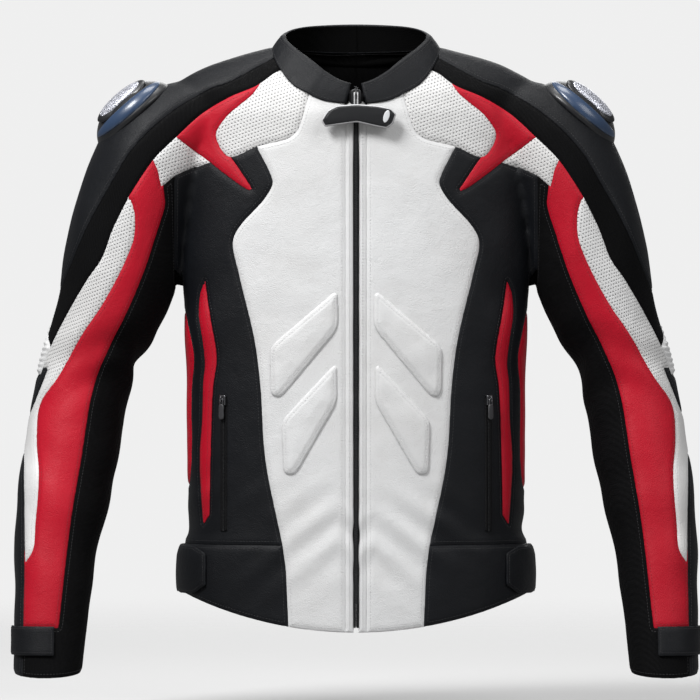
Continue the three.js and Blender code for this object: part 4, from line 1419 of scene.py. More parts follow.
@dataclass
class Shell:
    """All the sewn panels of the outside.

    Attributes:
        form: The garment's form.
        seams: Its seams.
        bend: The elbows.
        thickness: The hide's thickness.
        groove: How deep the seams sink.
        groove_width: How wide the seams' shoulders are.
        stitching: The stitches.
    """

    form: Form
    seams: Seams
    bend: ElbowBend
    thickness: float = 1.8 * MM
    groove: float = 1.5 * MM
    groove_width: float = 2.4 * MM
    stitching: Stitching = Stitching()

    SPECS = (
        PanelSpec("front_{side}", "front", Fabric.WHITE, ("front_panel_{side}",)),
        PanelSpec("placket_{side}", "placket", Fabric.WHITE, ()),
        PanelSpec("chest_holes_{side}", "chest_holes", Fabric.PERFORATED, ("chest_perforated_{side}",)),
        PanelSpec("flash_{side}_sewn", "flash", Fabric.RED, ("chest_flash_{side}",), lift=0.3 * MM),
        PanelSpec("patch_{side}_sewn", "patch", Fabric.PERFORATED, ("shoulder_patch_{side}",)),
        PanelSpec("chest_{side}_sewn", "side", Fabric.BLACK, ("chest_side_{side}",)),
        PanelSpec("side_stripe_{side}", "side_stripe", Fabric.RED, ()),
        PanelSpec("stripe_{side}_sewn", "stripe", Fabric.RED, ("front_stripe_{side}",), lift=0.4 * MM),
        PanelSpec("shoulder_{side}", "shoulder", Fabric.BLACK, ("shoulder_leather_{side}",), bends=True),
        PanelSpec("forearm_back_{side}", "forearm_outer", Fabric.BLACK, ("forearm_outer_{side}",),
                  bends=True),
        PanelSpec(
            "stretch_band_{side}", "stretch_band", Fabric.STRETCH, ("shoulder_stretch_{side}",), bends=True,
            lift=-0.6 * MM, stitched=False,
        ),
        PanelSpec(
            "sleeve_strip_{side}", "arm_strip", Fabric.PERFORATED,
            ("upper_perforated_{side}", "forearm_white_{side}"),
            bends=True,
        ),
        PanelSpec("sleeve_red_{side}", "arm_red", Fabric.RED, ("upper_red_{side}", "forearm_red_{side}"),
                  bends=True),
        PanelSpec(
            "sleeve_inner_{side}", "arm_inner", Fabric.STRETCH,
            ("upper_inner_{side}", "forearm_inner_{side}", "elbow_front_{side}"), bends=True,
        ),
        PanelSpec(
            "elbow_ribs_{side}", "elbow_ribs", Fabric.WHITE, ("elbow_bellows_{side}",), bends=True,
            stitched=False,
            ribs=1.5 * MM,
        ),
        PanelSpec("back", "back", Fabric.BLACK, ("back_panel",)),
        PanelSpec("waistband_sewn", "waistband", Fabric.BLACK, ("waistband",)),
    )

    def panel(self, skin: Skin, spec: PanelSpec, name: str) -> bpy.types.Object:
        """Make one panel with its thickness, sunk seams and stitches.

        Args:
            skin: The panel's outside.
            spec: How it is sewn.
            name: The piece's name.
        Returns:
            The piece.
        """
        skin = largest(skin)
        skin.refine(2.4 * MM, 6 * MM)
        if spec.ribs:
            skin.refine(2.4 * MM, None)
        far = skin.edge_distance()
        sink = self.groove * bell(far, self.groove_width)
        if spec.stitched:
            sink += 0.35 * MM * bell(far - self.stitching.inset, 1.3 * MM)
        rise = spec.lift - sink
        if spec.ribs:
            wave = 0.5 + 0.5 * np.cos(math.tau * (skin.v[:, 2] + 0.12 * np.abs(skin.v[:, 0])) / 0.0058)
            rise = rise + spec.ribs * (wave**0.6) * np.clip(far / (4 * MM), 0, 1)
        outside = skin.v + skin.n * rise[:, None]
        draft = sheet(outside, skin.v - skin.n * self.thickness, skin)
        if spec.stitched:
            self.stitching.edge(draft, outside, skin, far)
        return draft.build(name, [FINISHES[spec.fabric], THREADS[spec.fabric]])

    def build(self) -> dict[str, Skin]:
        """Build every panel.

        Returns:
            The cut skins by name, for what is fitted to them.
        """
        whole, _ = self.form.surface().cut(self.seams.openings())
        whole = largest(whole)
        cut = self.seams.cut(whole)
        for spec in self.SPECS:
            sides = SIDES.items() if "{side}" in spec.name else [("", 0.0)]
            for side, sign in sides:
                skin = one_side(cut[spec.skin], sign) if sign else cut[spec.skin]
                piece = self.panel(skin, spec, spec.name.format(side=side))
                nodes = [node.format(side=side) for node in spec.nodes]
                if spec.bends:
                    settle(piece, spec.fabric, None, nodes, SLEEVE_WRAP)
                    self.bend.apply(piece, side)
                else:
                    settle(piece, spec.fabric, "jacket", nodes, 0.0)
        cut["whole"] = whole
        return cut


def weld(piece: bpy.types.Object, distance: float = 1e-6) -> None:
    """Join points that coincide, such as a rim and its faces."""
    mod = piece.modifiers.new("weld", "WELD")
    mod.merge_threshold = distance
    apply_modifiers(piece)


def apply_modifiers(piece: bpy.types.Object) -> None:
    """Replace a piece's mesh by its evaluated one, without modifiers."""
    done = piece.evaluated_get(bpy.context.evaluated_depsgraph_get())
    mesh = bpy.data.meshes.new_from_object(done)
    piece.modifiers.clear()
    old = piece.data
    piece.data = mesh
    bpy.data.meshes.remove(old)


def cloth_map(piece: bpy.types.Object, wrap: float) -> None:
    """Give a piece a map in metres; wrap says how much depth counts across."""
    mesh = piece.data
    v = np.empty(len(mesh.vertices) * 3)
    mesh.vertices.foreach_get("co", v)
    v = v.reshape(-1, 3)
    corner = np.empty(len(mesh.loops), np.int32)
    mesh.loops.foreach_get("vertex_index", corner)
    u = v[:, 0] * 0.94 + v[:, 2] * 0.34 + v[:, 1] * wrap * np.sign(v[:, 0])
    w = v[:, 2] * 0.94 - v[:, 0] * 0.34
    layer = mesh.uv_layers.new(name="cloth")
    layer.data.foreach_set("uv", np.stack([u[corner], w[corner]], 1).astype(np.float32).ravel())


def settle(
    piece: bpy.types.Object, fabric: Fabric, body: str | None, nodes: Sequence[str] = (),
    wrap: float | None = None
) -> None:
    """Weld a piece, give it a cloth map where asked, attach it to its body, hide the solid nodes it stands
    for, and report it.

    Args:
        piece: The built piece.
        fabric: Its material slot; not used.
        body: The body it rides on, or None where it is left unattached.
        nodes: The solid nodes it stands for.
        wrap: How much depth counts across in its cloth map, or None for no map.
    """
    weld(piece)
    if wrap is not None:
        cloth_map(piece, wrap)
    if body:
        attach(piece, body)
    if nodes:
        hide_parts(*nodes)
    log.info("%s: %d faces", piece.name, len(piece.data.polygons))


# ---------------------------------------------------------------- lining


@dataclass
class Lining:
    """The black lining, a little inside the shell.

    Attributes:
        bend: The elbows.
        inset: How far inside the outer surface it lies.
        thickness: Its thickness.
        short: How far it stops before the hem.
        armhole: How far across the sleeves begin.
        gap: Half width of its gap behind the front zip.
        hem: Height of the hem behind.
        cuff: Height where the sleeves' lining stops.
    """

    bend: ElbowBend
    inset: float = 4.2 * MM
    thickness: float = 0.8 * MM
    short: float = 9 * MM
    armhole: float = 0.2
    gap: float = 0.006
    hem: float = -0.541
    cuff: float = -0.6

    def layer(self, skin: Skin, name: str) -> bpy.types.Object:
        """Make one part of the lining from the shell's skin."""
        skin = largest(skin)
        wrinkle = 0.8 * MM * noise_at(skin.v, 26.0, 3.0)
        outside = skin.v - skin.n * (self.inset + wrinkle)[:, None]
        draft = sheet(outside, outside - skin.n * self.thickness, skin)
        return draft.build(name, [FINISHES[Fabric.LINING]])

    def build(self, whole: Skin) -> None:
        """Build the body's lining and the two sleeves'."""
        body, rest = whole.cut(lambda s: np.abs(s.v[:, 0]) - self.armhole)
        body, _ = body.cut(lambda s: np.where(s.v[:, 1] < 0, self.gap - np.abs(s.v[:, 0]), -1.0))
        body, _ = body.cut(lambda s: self.hem + self.short - s.v[:, 2])
        settle(self.layer(body, "lining_body"), Fabric.LINING, "jacket", ["lining"], SLEEVE_WRAP)
        for side, sign in SIDES.items():
            sleeve, _ = one_side(rest, sign).cut(lambda s: self.cuff - s.v[:, 2])
            piece = self.layer(sleeve, f"lining_sleeve_{side}")
            settle(piece, Fabric.LINING, None, wrap=SLEEVE_WRAP)
            self.bend.apply(piece, side)


# ---------------------------------------------------------------- collar


@dataclass
class Collar:
    """The stand collar: rings that lean in from the neck seam, with a rolled edge.

    Attributes:
        form: The garment's form.
        foot: Half width, front and back depth at the seam.
        power: Squareness of the seam's front; 2 is an ellipse.
        lean: Height over which the foot's size goes over to the top's.
        top: The same at the top.
        wall: Its thickness.
        top_edge: Depth and height of its top edge, front to back, in millimetres.
        opening: Half width of the gap in front.
        tuck: How far the foot goes below the seam, in front and behind.
    """

    form: Form
    foot: tuple[float, float, float] = (0.0895, 0.0708, 0.062)
    power: float = 2.7
    lean: float = 0.032
    top: tuple[float, float, float] = (0.0665, 0.0615, 0.060)
    wall: float = 4.2 * MM
    top_edge: tuple[tuple[float, float], ...] = (
        (-66, 11), (-61.5, 14), (-60, 19), (-57.7, 27), (-51, 37), (-42.6, 46), (-30, 57), (-8, 70),
        (10, 77), (30, 83),
        (60, 88), (120, 92),
    )
    opening: float = 0.0042
    tuck: tuple[float, float] = (0.0025, 0.013)

    def section(self) -> list[tuple[float, float]]:
        """The wall's section: share of the height and offset outward."""
        half = self.wall / 2
        out = [(s, half + 0.8 * MM * math.sin(math.pi * s) - (1.0 * MM if s < 0.02 else 0)) for s in
               (0.0, 0.02, 0.06, 0.12, 0.2, 0.3, 0.4, 0.5, 0.6, 0.7, 0.8, 0.86, 0.9)]
        roll = [(0.93 + 0.07 * math.sin(a), half * 1.15 * math.cos(a))
                for a in np.linspace(0.1, math.pi - 0.1, 9)]
        return [*out, *roll, *[(s, -half) for s in (0.9, 0.7, 0.5, 0.3, 0.1, 0.0)]]

    def rings(self) -> Array:
        """Every section of the wall from one front edge round to the other."""
        t = np.linspace(0, 1, 181)
        start = math.asin(self.opening / self.foot[0])
        angle = -math.pi / 2 - start - t * (math.tau - 2 * start)
        c, s = np.cos(angle), np.sin(angle)
        table = np.array(self.top_edge) * MM
        heads = np.interp(np.where(s < 0, self.top[1], self.top[2]) * s, table[:, 0], table[:, 1])
        heads = running_mean(heads, 17)
        rows = []
        for cc, ss, high in zip(c, s, heads):
            e = 2 / self.power if ss < 0 else 1.0
            deep = self.foot[1] if ss < 0 else self.foot[2]
            foot = np.array([self.foot[0] * np.sign(cc) * abs(cc) ** e, deep * np.sign(ss) * abs(ss) ** e])
            head = np.array([self.top[0] * cc, (self.top[1] if ss < 0 else self.top[2]) * ss])
            low = self.form.top_at(foot[0], foot[1])
            height = max(high - low, 0.014)
            out2 = unit(np.array([cc / self.foot[0], ss / self.foot[1]]))
            tuck = self.tuck[0] if ss < 0 else self.tuck[0] + (self.tuck[1] - self.tuck[0]) * ss
            row = []
            for share, off in self.section():
                z = low - tuck + share * (height + tuck)
                reach = min((z - low) / self.lean, 1.25)
                spot = foot + (head - foot) * reach + out2 * off
                row.append((spot[0], spot[1], z))
            rows.append(row)
        rows = np.array(rows)
        front = np.abs(rows[:, :, 0]) < self.opening
        rows[:, :, 0] = np.where(front & (rows[:, :, 1] < 0), np.sign(rows[:, :, 0]) * self.opening,
                                 rows[:, :, 0])
        return rows

    def build(self) -> None:
        """Build the collar, its stitches and its neck seam."""
        rows = self.rings()
        soft = 0.5 * MM * noise_at(rows.reshape(-1, 3), 30.0, 6.0).reshape(rows.shape[:2])
        centre = rows.mean(axis=1, keepdims=True) * np.array([0, 0, 1.0])
        rows = rows + unit((rows - centre) * np.array([1, 1, 0.0])) * soft[..., None]
        draft = Draft()
        quads = tube_rows(rows, True)[:, ::-1]
        inner = (quads % rows.shape[1]).min(1) >= len(self.section()) - 8
        draft.add(rows.reshape(-1, 3), quads[~inner])
        draft.add(rows.reshape(-1, 3), quads[inner], 2)
        draft.cap(rows[0])
        draft.cap(rows[-1], True)
        for k in (3, 11):
            line = rows[:, k]
            out = unit((line - centre[:, 0]) * np.array([1, 1, 0.0]))
            Stitching(inset=0, radius=0.32 * MM).sew(draft, np.hstack([line, out])[3:-3])
        finishes = [FINISHES[Fabric.BLACK], THREADS[Fabric.BLACK], FINISHES[Fabric.LINING]]
        settle(draft.build("collar_stand", finishes), Fabric.BLACK, "jacket", ["collar"], SLEEVE_WRAP)


# ---------------------------------------------------------------- pads, armour and straps


def project(whole: Skin) -> Callable[[Array], tuple[Array, Array]]:
    """A function that puts points seen from the front on the surface.

    Args:
        whole: The garment's skin.
    Returns:
        It takes n by 2 points (x, z) and gives n by 3 points and normals.
    """
    tree = BVHTree.FromPolygons(whole.v.tolist(), whole.f.tolist())

    def find(points: Array) -> tuple[Array, Array]:
        spots, ways = [], []
        for x, z in points:
            hit, n, _, _ = tree.ray_cast(Vector((x, -0.5, z)), Vector((0, 1, 0)))
            if hit is None:
                hit, n, _, _ = tree.find_nearest(Vector((x, -0.1, z)))
            spots.append(hit)
            ways.append(n if n.y < 0 else -n)
        return np.array(spots), np.array(ways)

    return find


@dataclass
class RibPads:
    """The padded leather blocks over the ribs.

    Attributes:
        outlines: The right side's outlines in millimetres.
        corner: How far from its corners an outline starts to round, in millimetres.
        crown: How far the middle stands out.
        cell: Size of the grid cells.
    """

    outlines: dict[str, Outline] = field(
        default_factory=lambda: {
            "upper": ((-20, -209), (-19, -251), (-82, -327), (-93, -325), (-94, -272)),
            "lower": ((-21, -288), (-20, -331), (-66, -411), (-79, -410), (-81, -352)),
        }
    )
    corner: float = 9.0
    crown: float = 4.2 * MM
    cell: float = 2.0 * MM

    def build(self, front: Skin) -> None:
        """Build the four pads on the front panels."""
        for side, sign in SIDES.items():
            skin = largest(one_side(front, sign))
            for which, outline in self.outlines.items():
                ring = filleted(outline, self.corner)
                near, _ = skin.cut(lambda s: signed_distance(right_view(s), ring))
                near = largest(near)
                near.refine(self.cell * 1.2, None)
                far = near.edge_distance()
                share = np.clip(far / (9 * MM), 0, 1)
                pillow = np.sqrt(1 - (1 - share) ** 2) * 0.8 + 0.2 * np.clip(far / (18 * MM), 0, 1)
                pucker = 0.35 * MM * noise_at(near.v, 60.0, 8.0) * share
                rise = 0.3 * MM + self.crown * pillow + pucker - 0.5 * MM * bell(far - 4 * MM, 1.2 * MM)
                top = near.v + near.n * rise[:, None]
                draft = sheet(top, near.v - near.n * (0.4 * MM), near)
                Stitching().edge(draft, top, near, far)
                node = f"rib_pad_{which}_{side}"
                piece = draft.build(f"{node}_soft", [FINISHES[Fabric.WHITE], THREADS[Fabric.WHITE]])
                settle(piece, Fabric.WHITE, "jacket", [node])


FRONTWARD = -math.pi / 2


@dataclass
class ShoulderArmour:
    """The moulded cap on each shoulder: base, gloss crescent, silver insert and rim.

    Attributes:
        centre: Where the right cap sits.
        lean: Its turn about the front axis, in radians.
        axes: The ellipsoid's half sizes.
        tilt: How far the insert turns toward the front, in radians.
    """

    centre: tuple[float, float, float] = (-0.240, -0.004, -0.022)
    lean: float = 0.72
    axes: tuple[float, float, float] = (0.052, 0.044, 0.036)
    tilt: float = 0.62

    def place(self, side: str) -> Matrix:
        """The cap's frame on one side."""
        sign = SIDES[side]
        x, y, z = self.centre
        return Matrix.Translation((-sign * x, y, z)) @ Matrix.Rotation(sign * self.lean, 4, "Y")

    def dome(self, axes: tuple[float, float, float], low: float, rise: float,
             rings: int = 40) -> tuple[Array, Array]:
        """A cap of an ellipsoid with a rounded foot.

        Args:
            axes: Half sizes.
            low: The angle from the top where the cap ends.
            rise: How far the whole cap is lifted.
            rings: Number of rings.
        Returns:
            Its points and faces.
        """
        a = np.linspace(0.015, low, rings)[:, None]
        t = np.linspace(0, math.tau, 72, endpoint=False)[None]
        x, y = axes[0] * np.sin(a) * np.cos(t), axes[1] * np.sin(a) * np.sin(t)
        z = axes[2] * np.cos(a) + rise + 0 * t
        rows = np.stack([x, y, z], 2)
        foot = rows[-1:] * np.array([0.97, 0.97, 1]) - np.array([0, 0, 0.004])
        rows = np.concatenate([rows, foot])
        faces = tube_rows(rows, True)
        points = np.vstack([rows.reshape(-1, 3), rows[0].mean(0), rows[-1].mean(0)])
        return points, [*faces[:, ::-1].tolist(), *end_fans(rows.shape[1], len(rows)).tolist()]

    def build(self) -> None:
        """Build both caps."""
        for side in SIDES:
            frame_at = self.place(side)
            base = new_piece(f"armour_cap_{side}", *self.dome(self.axes, 1.42, 0.0),
                             [FINISHES[Fabric.MOULDED]])
            around = (FRONTWARD - 1.35, FRONTWARD + 1.35)
            crescent = self._band(f"armour_crescent_{side}", *around, 0.80, 0.975, 2.0 * MM, GLOSS_BLUE)
            tilt = Matrix.Rotation(self.tilt, 4, "X")
            rim_cap = self.dome((0.034, 0.0145, 0.006), 1.5, 0.0335)
            rim = new_piece(f"armour_rim_{side}", *rim_cap, [FINISHES[Fabric.MOULDED]])
            lens_cap = self.dome((0.028, 0.0098, 0.0045), 1.5, 0.0372)
            lens = new_piece(f"armour_lens_{side}", *lens_cap, [FINISHES[Fabric.MESH]])
            for piece in (rim, lens):
                piece.data.transform(tilt)
            parts = ((base, Fabric.MOULDED), (crescent, Fabric.MOULDED), (rim, Fabric.MOULDED),
                     (lens, Fabric.MESH))
            for piece, fabric in parts:
                piece.data.transform(frame_at)
                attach(piece, "jacket")
            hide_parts(f"armour_base_{side}")
            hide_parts(f"armour_insert_{side}")
            log.info("armour %s", side)

    def _band(self, name: str, low: float, high: float, inner: float, outer: float, out: float,
              finish: Finish) -> bpy.types.Object:
        """A crescent that lies on the cap.

        Args:
            name: The piece's name.
            low: Where it starts round the cap, in radians.
            high: Where it ends.
            inner: Its inner radius, as a share of the cap.
            outer: Its outer radius.
            out: How far it stands out.
            finish: Its finish.
        Returns:
            The piece.
        """
        t = np.linspace(low, high, 61)
        shares = np.linspace(0, 1, 13)
        rows = []
        for at in t:
            mid, half = (inner + outer) / 2, (outer - inner) / 2
            taper = max(math.sin(math.pi * (at - low) / (high - low)), 0.0) ** 0.55
            row = []
            for s in shares:
                r = mid + half * taper * (2 * s - 1)
                a = math.asin(min(r, 0.995))
                swell = out * taper * math.sqrt(max(1 - (2 * s - 1) ** 2, 0.0)) + 0.2 * MM
                way = (math.sin(a) * math.cos(at), math.sin(a) * math.sin(at), math.cos(a))
                p = np.array([half_size * w for half_size, w in zip(self.axes, way)])
                n = unit(p / np.array(self.axes) ** 2)
                row.append(p + n * swell)
            row += [p * 0.93 for p in reversed(row)]
            rows.append(row)
        rows = np.array(rows)
        c = rows.shape[1]
        faces = tube_rows(rows, True).tolist() + [list(range(c)),
                                                  list(range((len(rows) - 1) * c, len(rows) * c))[::-1]]
        return new_piece(name, rows.reshape(-1, 3), faces, [finish])


@dataclass
class Straps:
    """The hook-and-loop straps at the waist's sides and the cuffs.

    Attributes:
        thickness: A strap's thickness.
        stitching: Its stitches.
    """

    thickness: float = 3.0 * MM
    stitching: Stitching = Stitching(inset=3 * MM, radius=0.28 * MM, pitch=3.0 * MM, length=2.2 * MM)

    def strap(self, name: str, skin: Skin, body: str) -> None:
        """Make one strap from the skin beneath it.

        Args:
            name: The piece's name.
            skin: The garment under the strap.
            body: The body it moves with, which is also the node it stands for.
        """
        skin = largest(skin)
        skin.refine(2.4 * MM, None, 2)
        far = skin.edge_distance()
        round_off = 0.9 * MM * bell(far, 1.6 * MM)
        seam = 0.35 * MM * bell(far - self.stitching.inset, 1.0 * MM)
        top = skin.v + skin.n * (self.thickness + 0.6 * MM - round_off - seam)[:, None]
        draft = sheet(top, skin.v + skin.n * (0.8 * MM), skin)
        self.stitching.edge(draft, top, skin, far)
        piece = draft.build(name, [FINISHES[Fabric.BLACK], THREADS[Fabric.BLACK]])
        settle(piece, Fabric.MOULDED, body, [body])

    def build(self, whole: Skin) -> None:
        """Build the four straps."""
        outline = corners([(-163, -497), (-163, -531), (-176, -541), (-230, -541), (-230, -490),
                           (-176, -490)])
        for side, sign in SIDES.items():
            skin = one_side(whole, sign)

            def waist(s: Skin) -> Array:
                return np.maximum(signed_distance(right_view(s), outline), s.v[:, 1] - 0.030)

            def cuff(s: Skin) -> Array:
                x, y, z = s.v.T
                return np.maximum.reduce([z + 0.574, -0.605 - z, 0.326 - np.abs(x), y + 0.088])

            self.strap(f"waist_tab_{side}", skin.cut(waist)[0], f"waist_strap_{side}")
            self.strap(f"cuff_tab_{side}", skin.cut(cuff)[0], f"cuff_strap_{side}")


# ---------------------------------------------------------------- zips


def block(draft: Draft, size: tuple[float, float, float], at: Matrix, bevel: float,
          material: int = 0) -> None:
    """Add a rounded block.

    Args:
        draft: What it is added to.
        size: Width, depth and height.
        at: Its place.
        bevel: Its corners' radius.
        material: Its material index.
    """
    steps = 4
    grid = np.linspace(-1, 1, 2 * steps + 2)
    points: dict[tuple[int, int, int], int] = {}
    v: list[list[float]] = []
    faces: list[tuple[int, int, int, int]] = []
    half = np.array(size) / 2
    core = np.maximum(half - bevel, 1e-5)

    def spot(key: tuple[int, int, int]) -> int:
        if key not in points:
            p = np.array([grid[k] for k in key])
            inner = np.clip(p * half, -core, core)
            way = p * half - inner
            length = np.linalg.norm(way)
            out = inner + way / length * bevel if length > 1e-9 else inner
            points[key] = len(v)
            v.append(list(at @ Vector(out)))
        return points[key]

    last = 2 * steps + 1
    for axis in range(3):
        a, b = (axis + 1) % 3, (axis + 2) % 3
        for end in (0, last):
            for i in range(last):
                for j in range(last):
                    keys = []
                    for di, dj in ((0, 0), (1, 0), (1, 1), (0, 1)):
                        key = [0, 0, 0]
                        key[axis], key[a], key[b] = end, i + di, j + dj
                        keys.append(spot(tuple(key)))
                    faces.append(tuple(keys if end else keys[::-1]))
    draft.add(np.array(v), np.array(faces), material)


def filleted(points: Outline, radius: float) -> Array:
    """A closed straight-sided outline with rounded corners, in metres; the radius is in millimetres."""
    p = np.array(points, float)
    found = []
    for k in range(len(p)):
        here, before, after = p[k], p[k - 1], p[(k + 1) % len(p)]
        a = here + (before - here) * min(0.45, radius / max(np.linalg.norm(before - here), 1e-6))
        b = here + (after - here) * min(0.45, radius / max(np.linalg.norm(after - here), 1e-6))
        found += [a * (1 - t) ** 2 + 2 * here * t * (1 - t) + b * t**2 for t in (0, 0.25, 0.5, 0.75, 1)]
    return np.array(found) * MM


def slab(
    draft: Draft, outline: Array, front: float, back: float, bevel: float, at: Matrix, material: int = 0,
    edge: int | None = None
) -> None:
    """Add a plate with a bevelled outline, upright in x and z.

    Args:
        draft: What it is added to.
        outline: Its closed outline, in metres.
        front: The y of its front face.
        back: The y of its back face.
        bevel: How wide the bevel is.
        at: Its place.
        material: Its material index.
        edge: Its bevel's material index, when that differs.
    """
    area = np.sum(outline[:, 0] * np.roll(outline[:, 1], -1) - np.roll(outline[:, 0], -1) * outline[:, 1])
    ring = outline if area > 0 else outline[::-1]
    side = unit(np.roll(ring, -1, axis=0) - np.roll(ring, 1, axis=0))
    inward = np.stack([-side[:, 1], side[:, 0]], 1)
    rows = []
    for inset, y in (
        (bevel * 2.2, front), (bevel, front + bevel * 0.15), (bevel * 0.4, front + bevel * 0.5),
        (0, front + bevel * 1.1),
        (0, back - bevel * 0.5), (bevel * 0.5, back),
    ):
        flat = ring + inward * inset
        rows.append([at @ Vector((x, y, z)) for x, z in flat])
    rows = np.array([[list(p) for p in row] for row in rows])
    c = len(ring)
    hubs = np.array([rows[0].mean(0), rows[-1].mean(0)])
    points = np.vstack([rows.reshape(-1, 3), hubs])
    quads = tube_rows(rows, True)[:, ::-1]
    bevelled = (np.arange(len(quads)) // c == 1) | (np.arange(len(quads)) // c == 2)
    draft.add(points, quads[~bevelled], material)
    draft.add(points, quads[bevelled], material if edge is None else edge)
    draft.add(points, end_fans(c, len(rows)), material)


def rod(draft: Draft, path: Array, radius: float) -> None:
    """Add a round bar along a path.

    Args:
        draft: What it is added to.
        path: An n by 3 array of points.
        radius: The bar's radius.
    """
    sides = 10
    along = unit(np.gradient(path, axis=0))
    ref = np.array([0.31, 0.83, 0.47])
    across = unit(np.cross(along, ref))
    up = np.cross(across, along)
    t = np.linspace(0, math.tau, sides, endpoint=False)[None, :, None]
    rows = path[:, None] + radius * (across[:, None] * np.cos(t) + up[:, None] * np.sin(t))
    points = np.vstack([rows.reshape(-1, 3), path[:1], path[-1:]])
    draft.add(points, tube_rows(rows, True)[:, ::-1])
    draft.add(points, end_fans(sides, len(rows)))


@dataclass
class MainZip:
    """The front zip: woven tapes, moulded teeth, slider, wing pull and its inset.

    Attributes:
        top: Height of the first tooth.
        bottom: Height of the last tooth.
        pitch: From one tooth to the next on one side.
        slope: How far the front leans out for each unit down.
    """

    top: float = 0.012
    bottom: float = -0.576
    pitch: float = 2.7 * MM
    slope: float = 0.07

    TAB = (
        (-38, -26), (-31, -15), (-21, -10), (-2.6, -8.4), (2.6, -8.4), (23, -10), (38, -13), (44, -19),
        (40, -30),
        (33, -35), (23, -33), (1, -28), (-21, -31), (-34, -33),
    )

    def depth(self, z: float) -> float:
        """How far in front of the origin the shell lies on the centre line."""
        return 0.074 - self.slope * z if z < 0.008 else 0.0734 - (z - 0.008) * 0.2

    def frame_at(self, z: float) -> Matrix:
        """A frame on the centre line that leans with the front."""
        return Matrix.Translation((0, -self.depth(z), z)) @ Matrix.Rotation(-math.atan(self.slope), 4, "X")

    def tapes(self) -> None:
        """Build both tapes with their teeth."""
        for side, sign in SIDES.items():
            draft = Draft()
            z = np.arange(self.bottom, self.top, 4 * MM)
            wide = [sign * k * MM for k in (0.4, 2.0, 3.0, 5.0, 8.0, 12.0)]
            lie = [k * MM for k in (0.4, 0.3, 1.4, 3.0, 3.2, 3.2)]
            rows = np.array([[(x, -self.depth(h) + d, h) for x, d in zip(wide, lie)] for h in z])
            back = rows + np.array([0, 0.9 * MM, 0])
            for layer, flip in ((rows, sign < 0), (back, sign > 0)):
                quads = tube_rows(layer, False)
                draft.add(layer.reshape(-1, 3), quads if flip else quads[:, ::-1])
            c, total = len(wide), len(z) * len(wide)
            both = np.vstack([rows.reshape(-1, 3), back.reshape(-1, 3)])
            rim = [(i * c + e, (i + 1) * c + e) for i in range(len(z) - 1) for e in (0, c - 1)]
            rim += [(e * c + k, e * c + k + 1) for k in range(c - 1) for e in (0, len(z) - 1)]
            draft.add(both, np.array([(a, b, b + total, a + total) for a, b in rim]))
            shift = self.pitch / 2 if sign > 0 else 0.0
            h = self.bottom + 2 * MM + shift
            while h < self.top:
                at = self.frame_at(h) @ Matrix.Translation((sign * 0.75 * MM, -0.1 * MM, 0))
                block(draft, (3.0 * MM, 2.2 * MM, 1.25 * MM), at, 0.45 * MM, 1)
                h += self.pitch
            piece = draft.build(f"main_tape_{side}", [FINISHES[Fabric.TAPE], FINISHES[Fabric.MOULDED]])
            settle(piece, Fabric.TAPE, "jacket", [f"zip_tape_{side}"], SLEEVE_WRAP)

    def slider(self) -> None:
        """Build the slider body with its bridge, the wing pull and the inset."""
        at = self.frame_at(0.0)
        lift = Matrix.Translation((0, -4.0 * MM, 0))
        draft = Draft()
        shape = closed_curve([(-3.4, -8), (3.4, -8), (5.4, 3), (4.6, 8), (0, 9), (-4.6, 8), (-5.4, 3)], 4)
        slab(draft, shape, -1.6 * MM, 1.4 * MM, 0.7 * MM, at @ lift)
        arch = [(0, -1.2, 7), (0, -4.6, 6.4), (0, -6.6, 4.4), (0, -7.0, 1.5), (0, -6.4, -1.6),
                (0, -3.6, -3.6), (0, -1.2, -4.2)]
        rod(draft, placed(at @ lift, np.array(arch) * MM), 1.1 * MM)
        settle(draft.build("main_slider", [FINISHES[Fabric.MOULDED]]), Fabric.MOULDED, "zip_slider",
               ["zip_slider"])
        pull = Draft()
        legs = np.array([(-1.7, 0, 4.2), (-1.7, 0, -11), (1.7, 0, -11), (1.7, 0, 4.2)]) * MM
        hang = at @ Matrix.Translation((0, -10.2 * MM, 0))
        rod(pull, filled_path(placed(hang, legs), 5), 0.9 * MM)
        rod(pull, placed(hang, [(x * MM, 0, 4.2 * MM) for x in (-2.4, -1, 1, 2.4)]), 0.9 * MM)
        slab(pull, filleted(self.TAB, 2.4), -2.6 * MM, 1.8 * MM, 1.3 * MM, hang, 1, 0)
        face = filleted([(x * 0.89 + 0.2, (z + 21) * 0.78 - 20.4) for x, z in self.TAB], 2.2)
        slab(pull, face, -3.2 * MM, -1.6 * MM, 0.4 * MM, hang, 1)
        wing = pull.build("glove_pull", [PALE_EDGE, FINISHES[Fabric.MOULDED]])
        settle(wing, Fabric.MOULDED, "zip_pull", ["zip_pull"])
        inset = Draft()
        t = np.linspace(0, math.tau, 32, endpoint=False)
        lean = 0.3
        flat = np.stack([3.2 * MM * np.cos(t), 7.0 * MM * np.sin(t)], 1)
        turned = flat @ np.array([[math.cos(lean), -math.sin(lean)], [math.sin(lean), math.cos(lean)]])
        slab(inset, turned + np.array([0.033, -0.022]), -3.7 * MM, -2.5 * MM, 0.4 * MM, hang)
        settle(inset.build("pull_inset", [FINISHES[Fabric.BADGE]]), Fabric.BADGE, "zip_pull", ["pull_badge"])

    def build(self) -> None:
        """Build the whole zip."""
        self.tapes()
        self.slider()


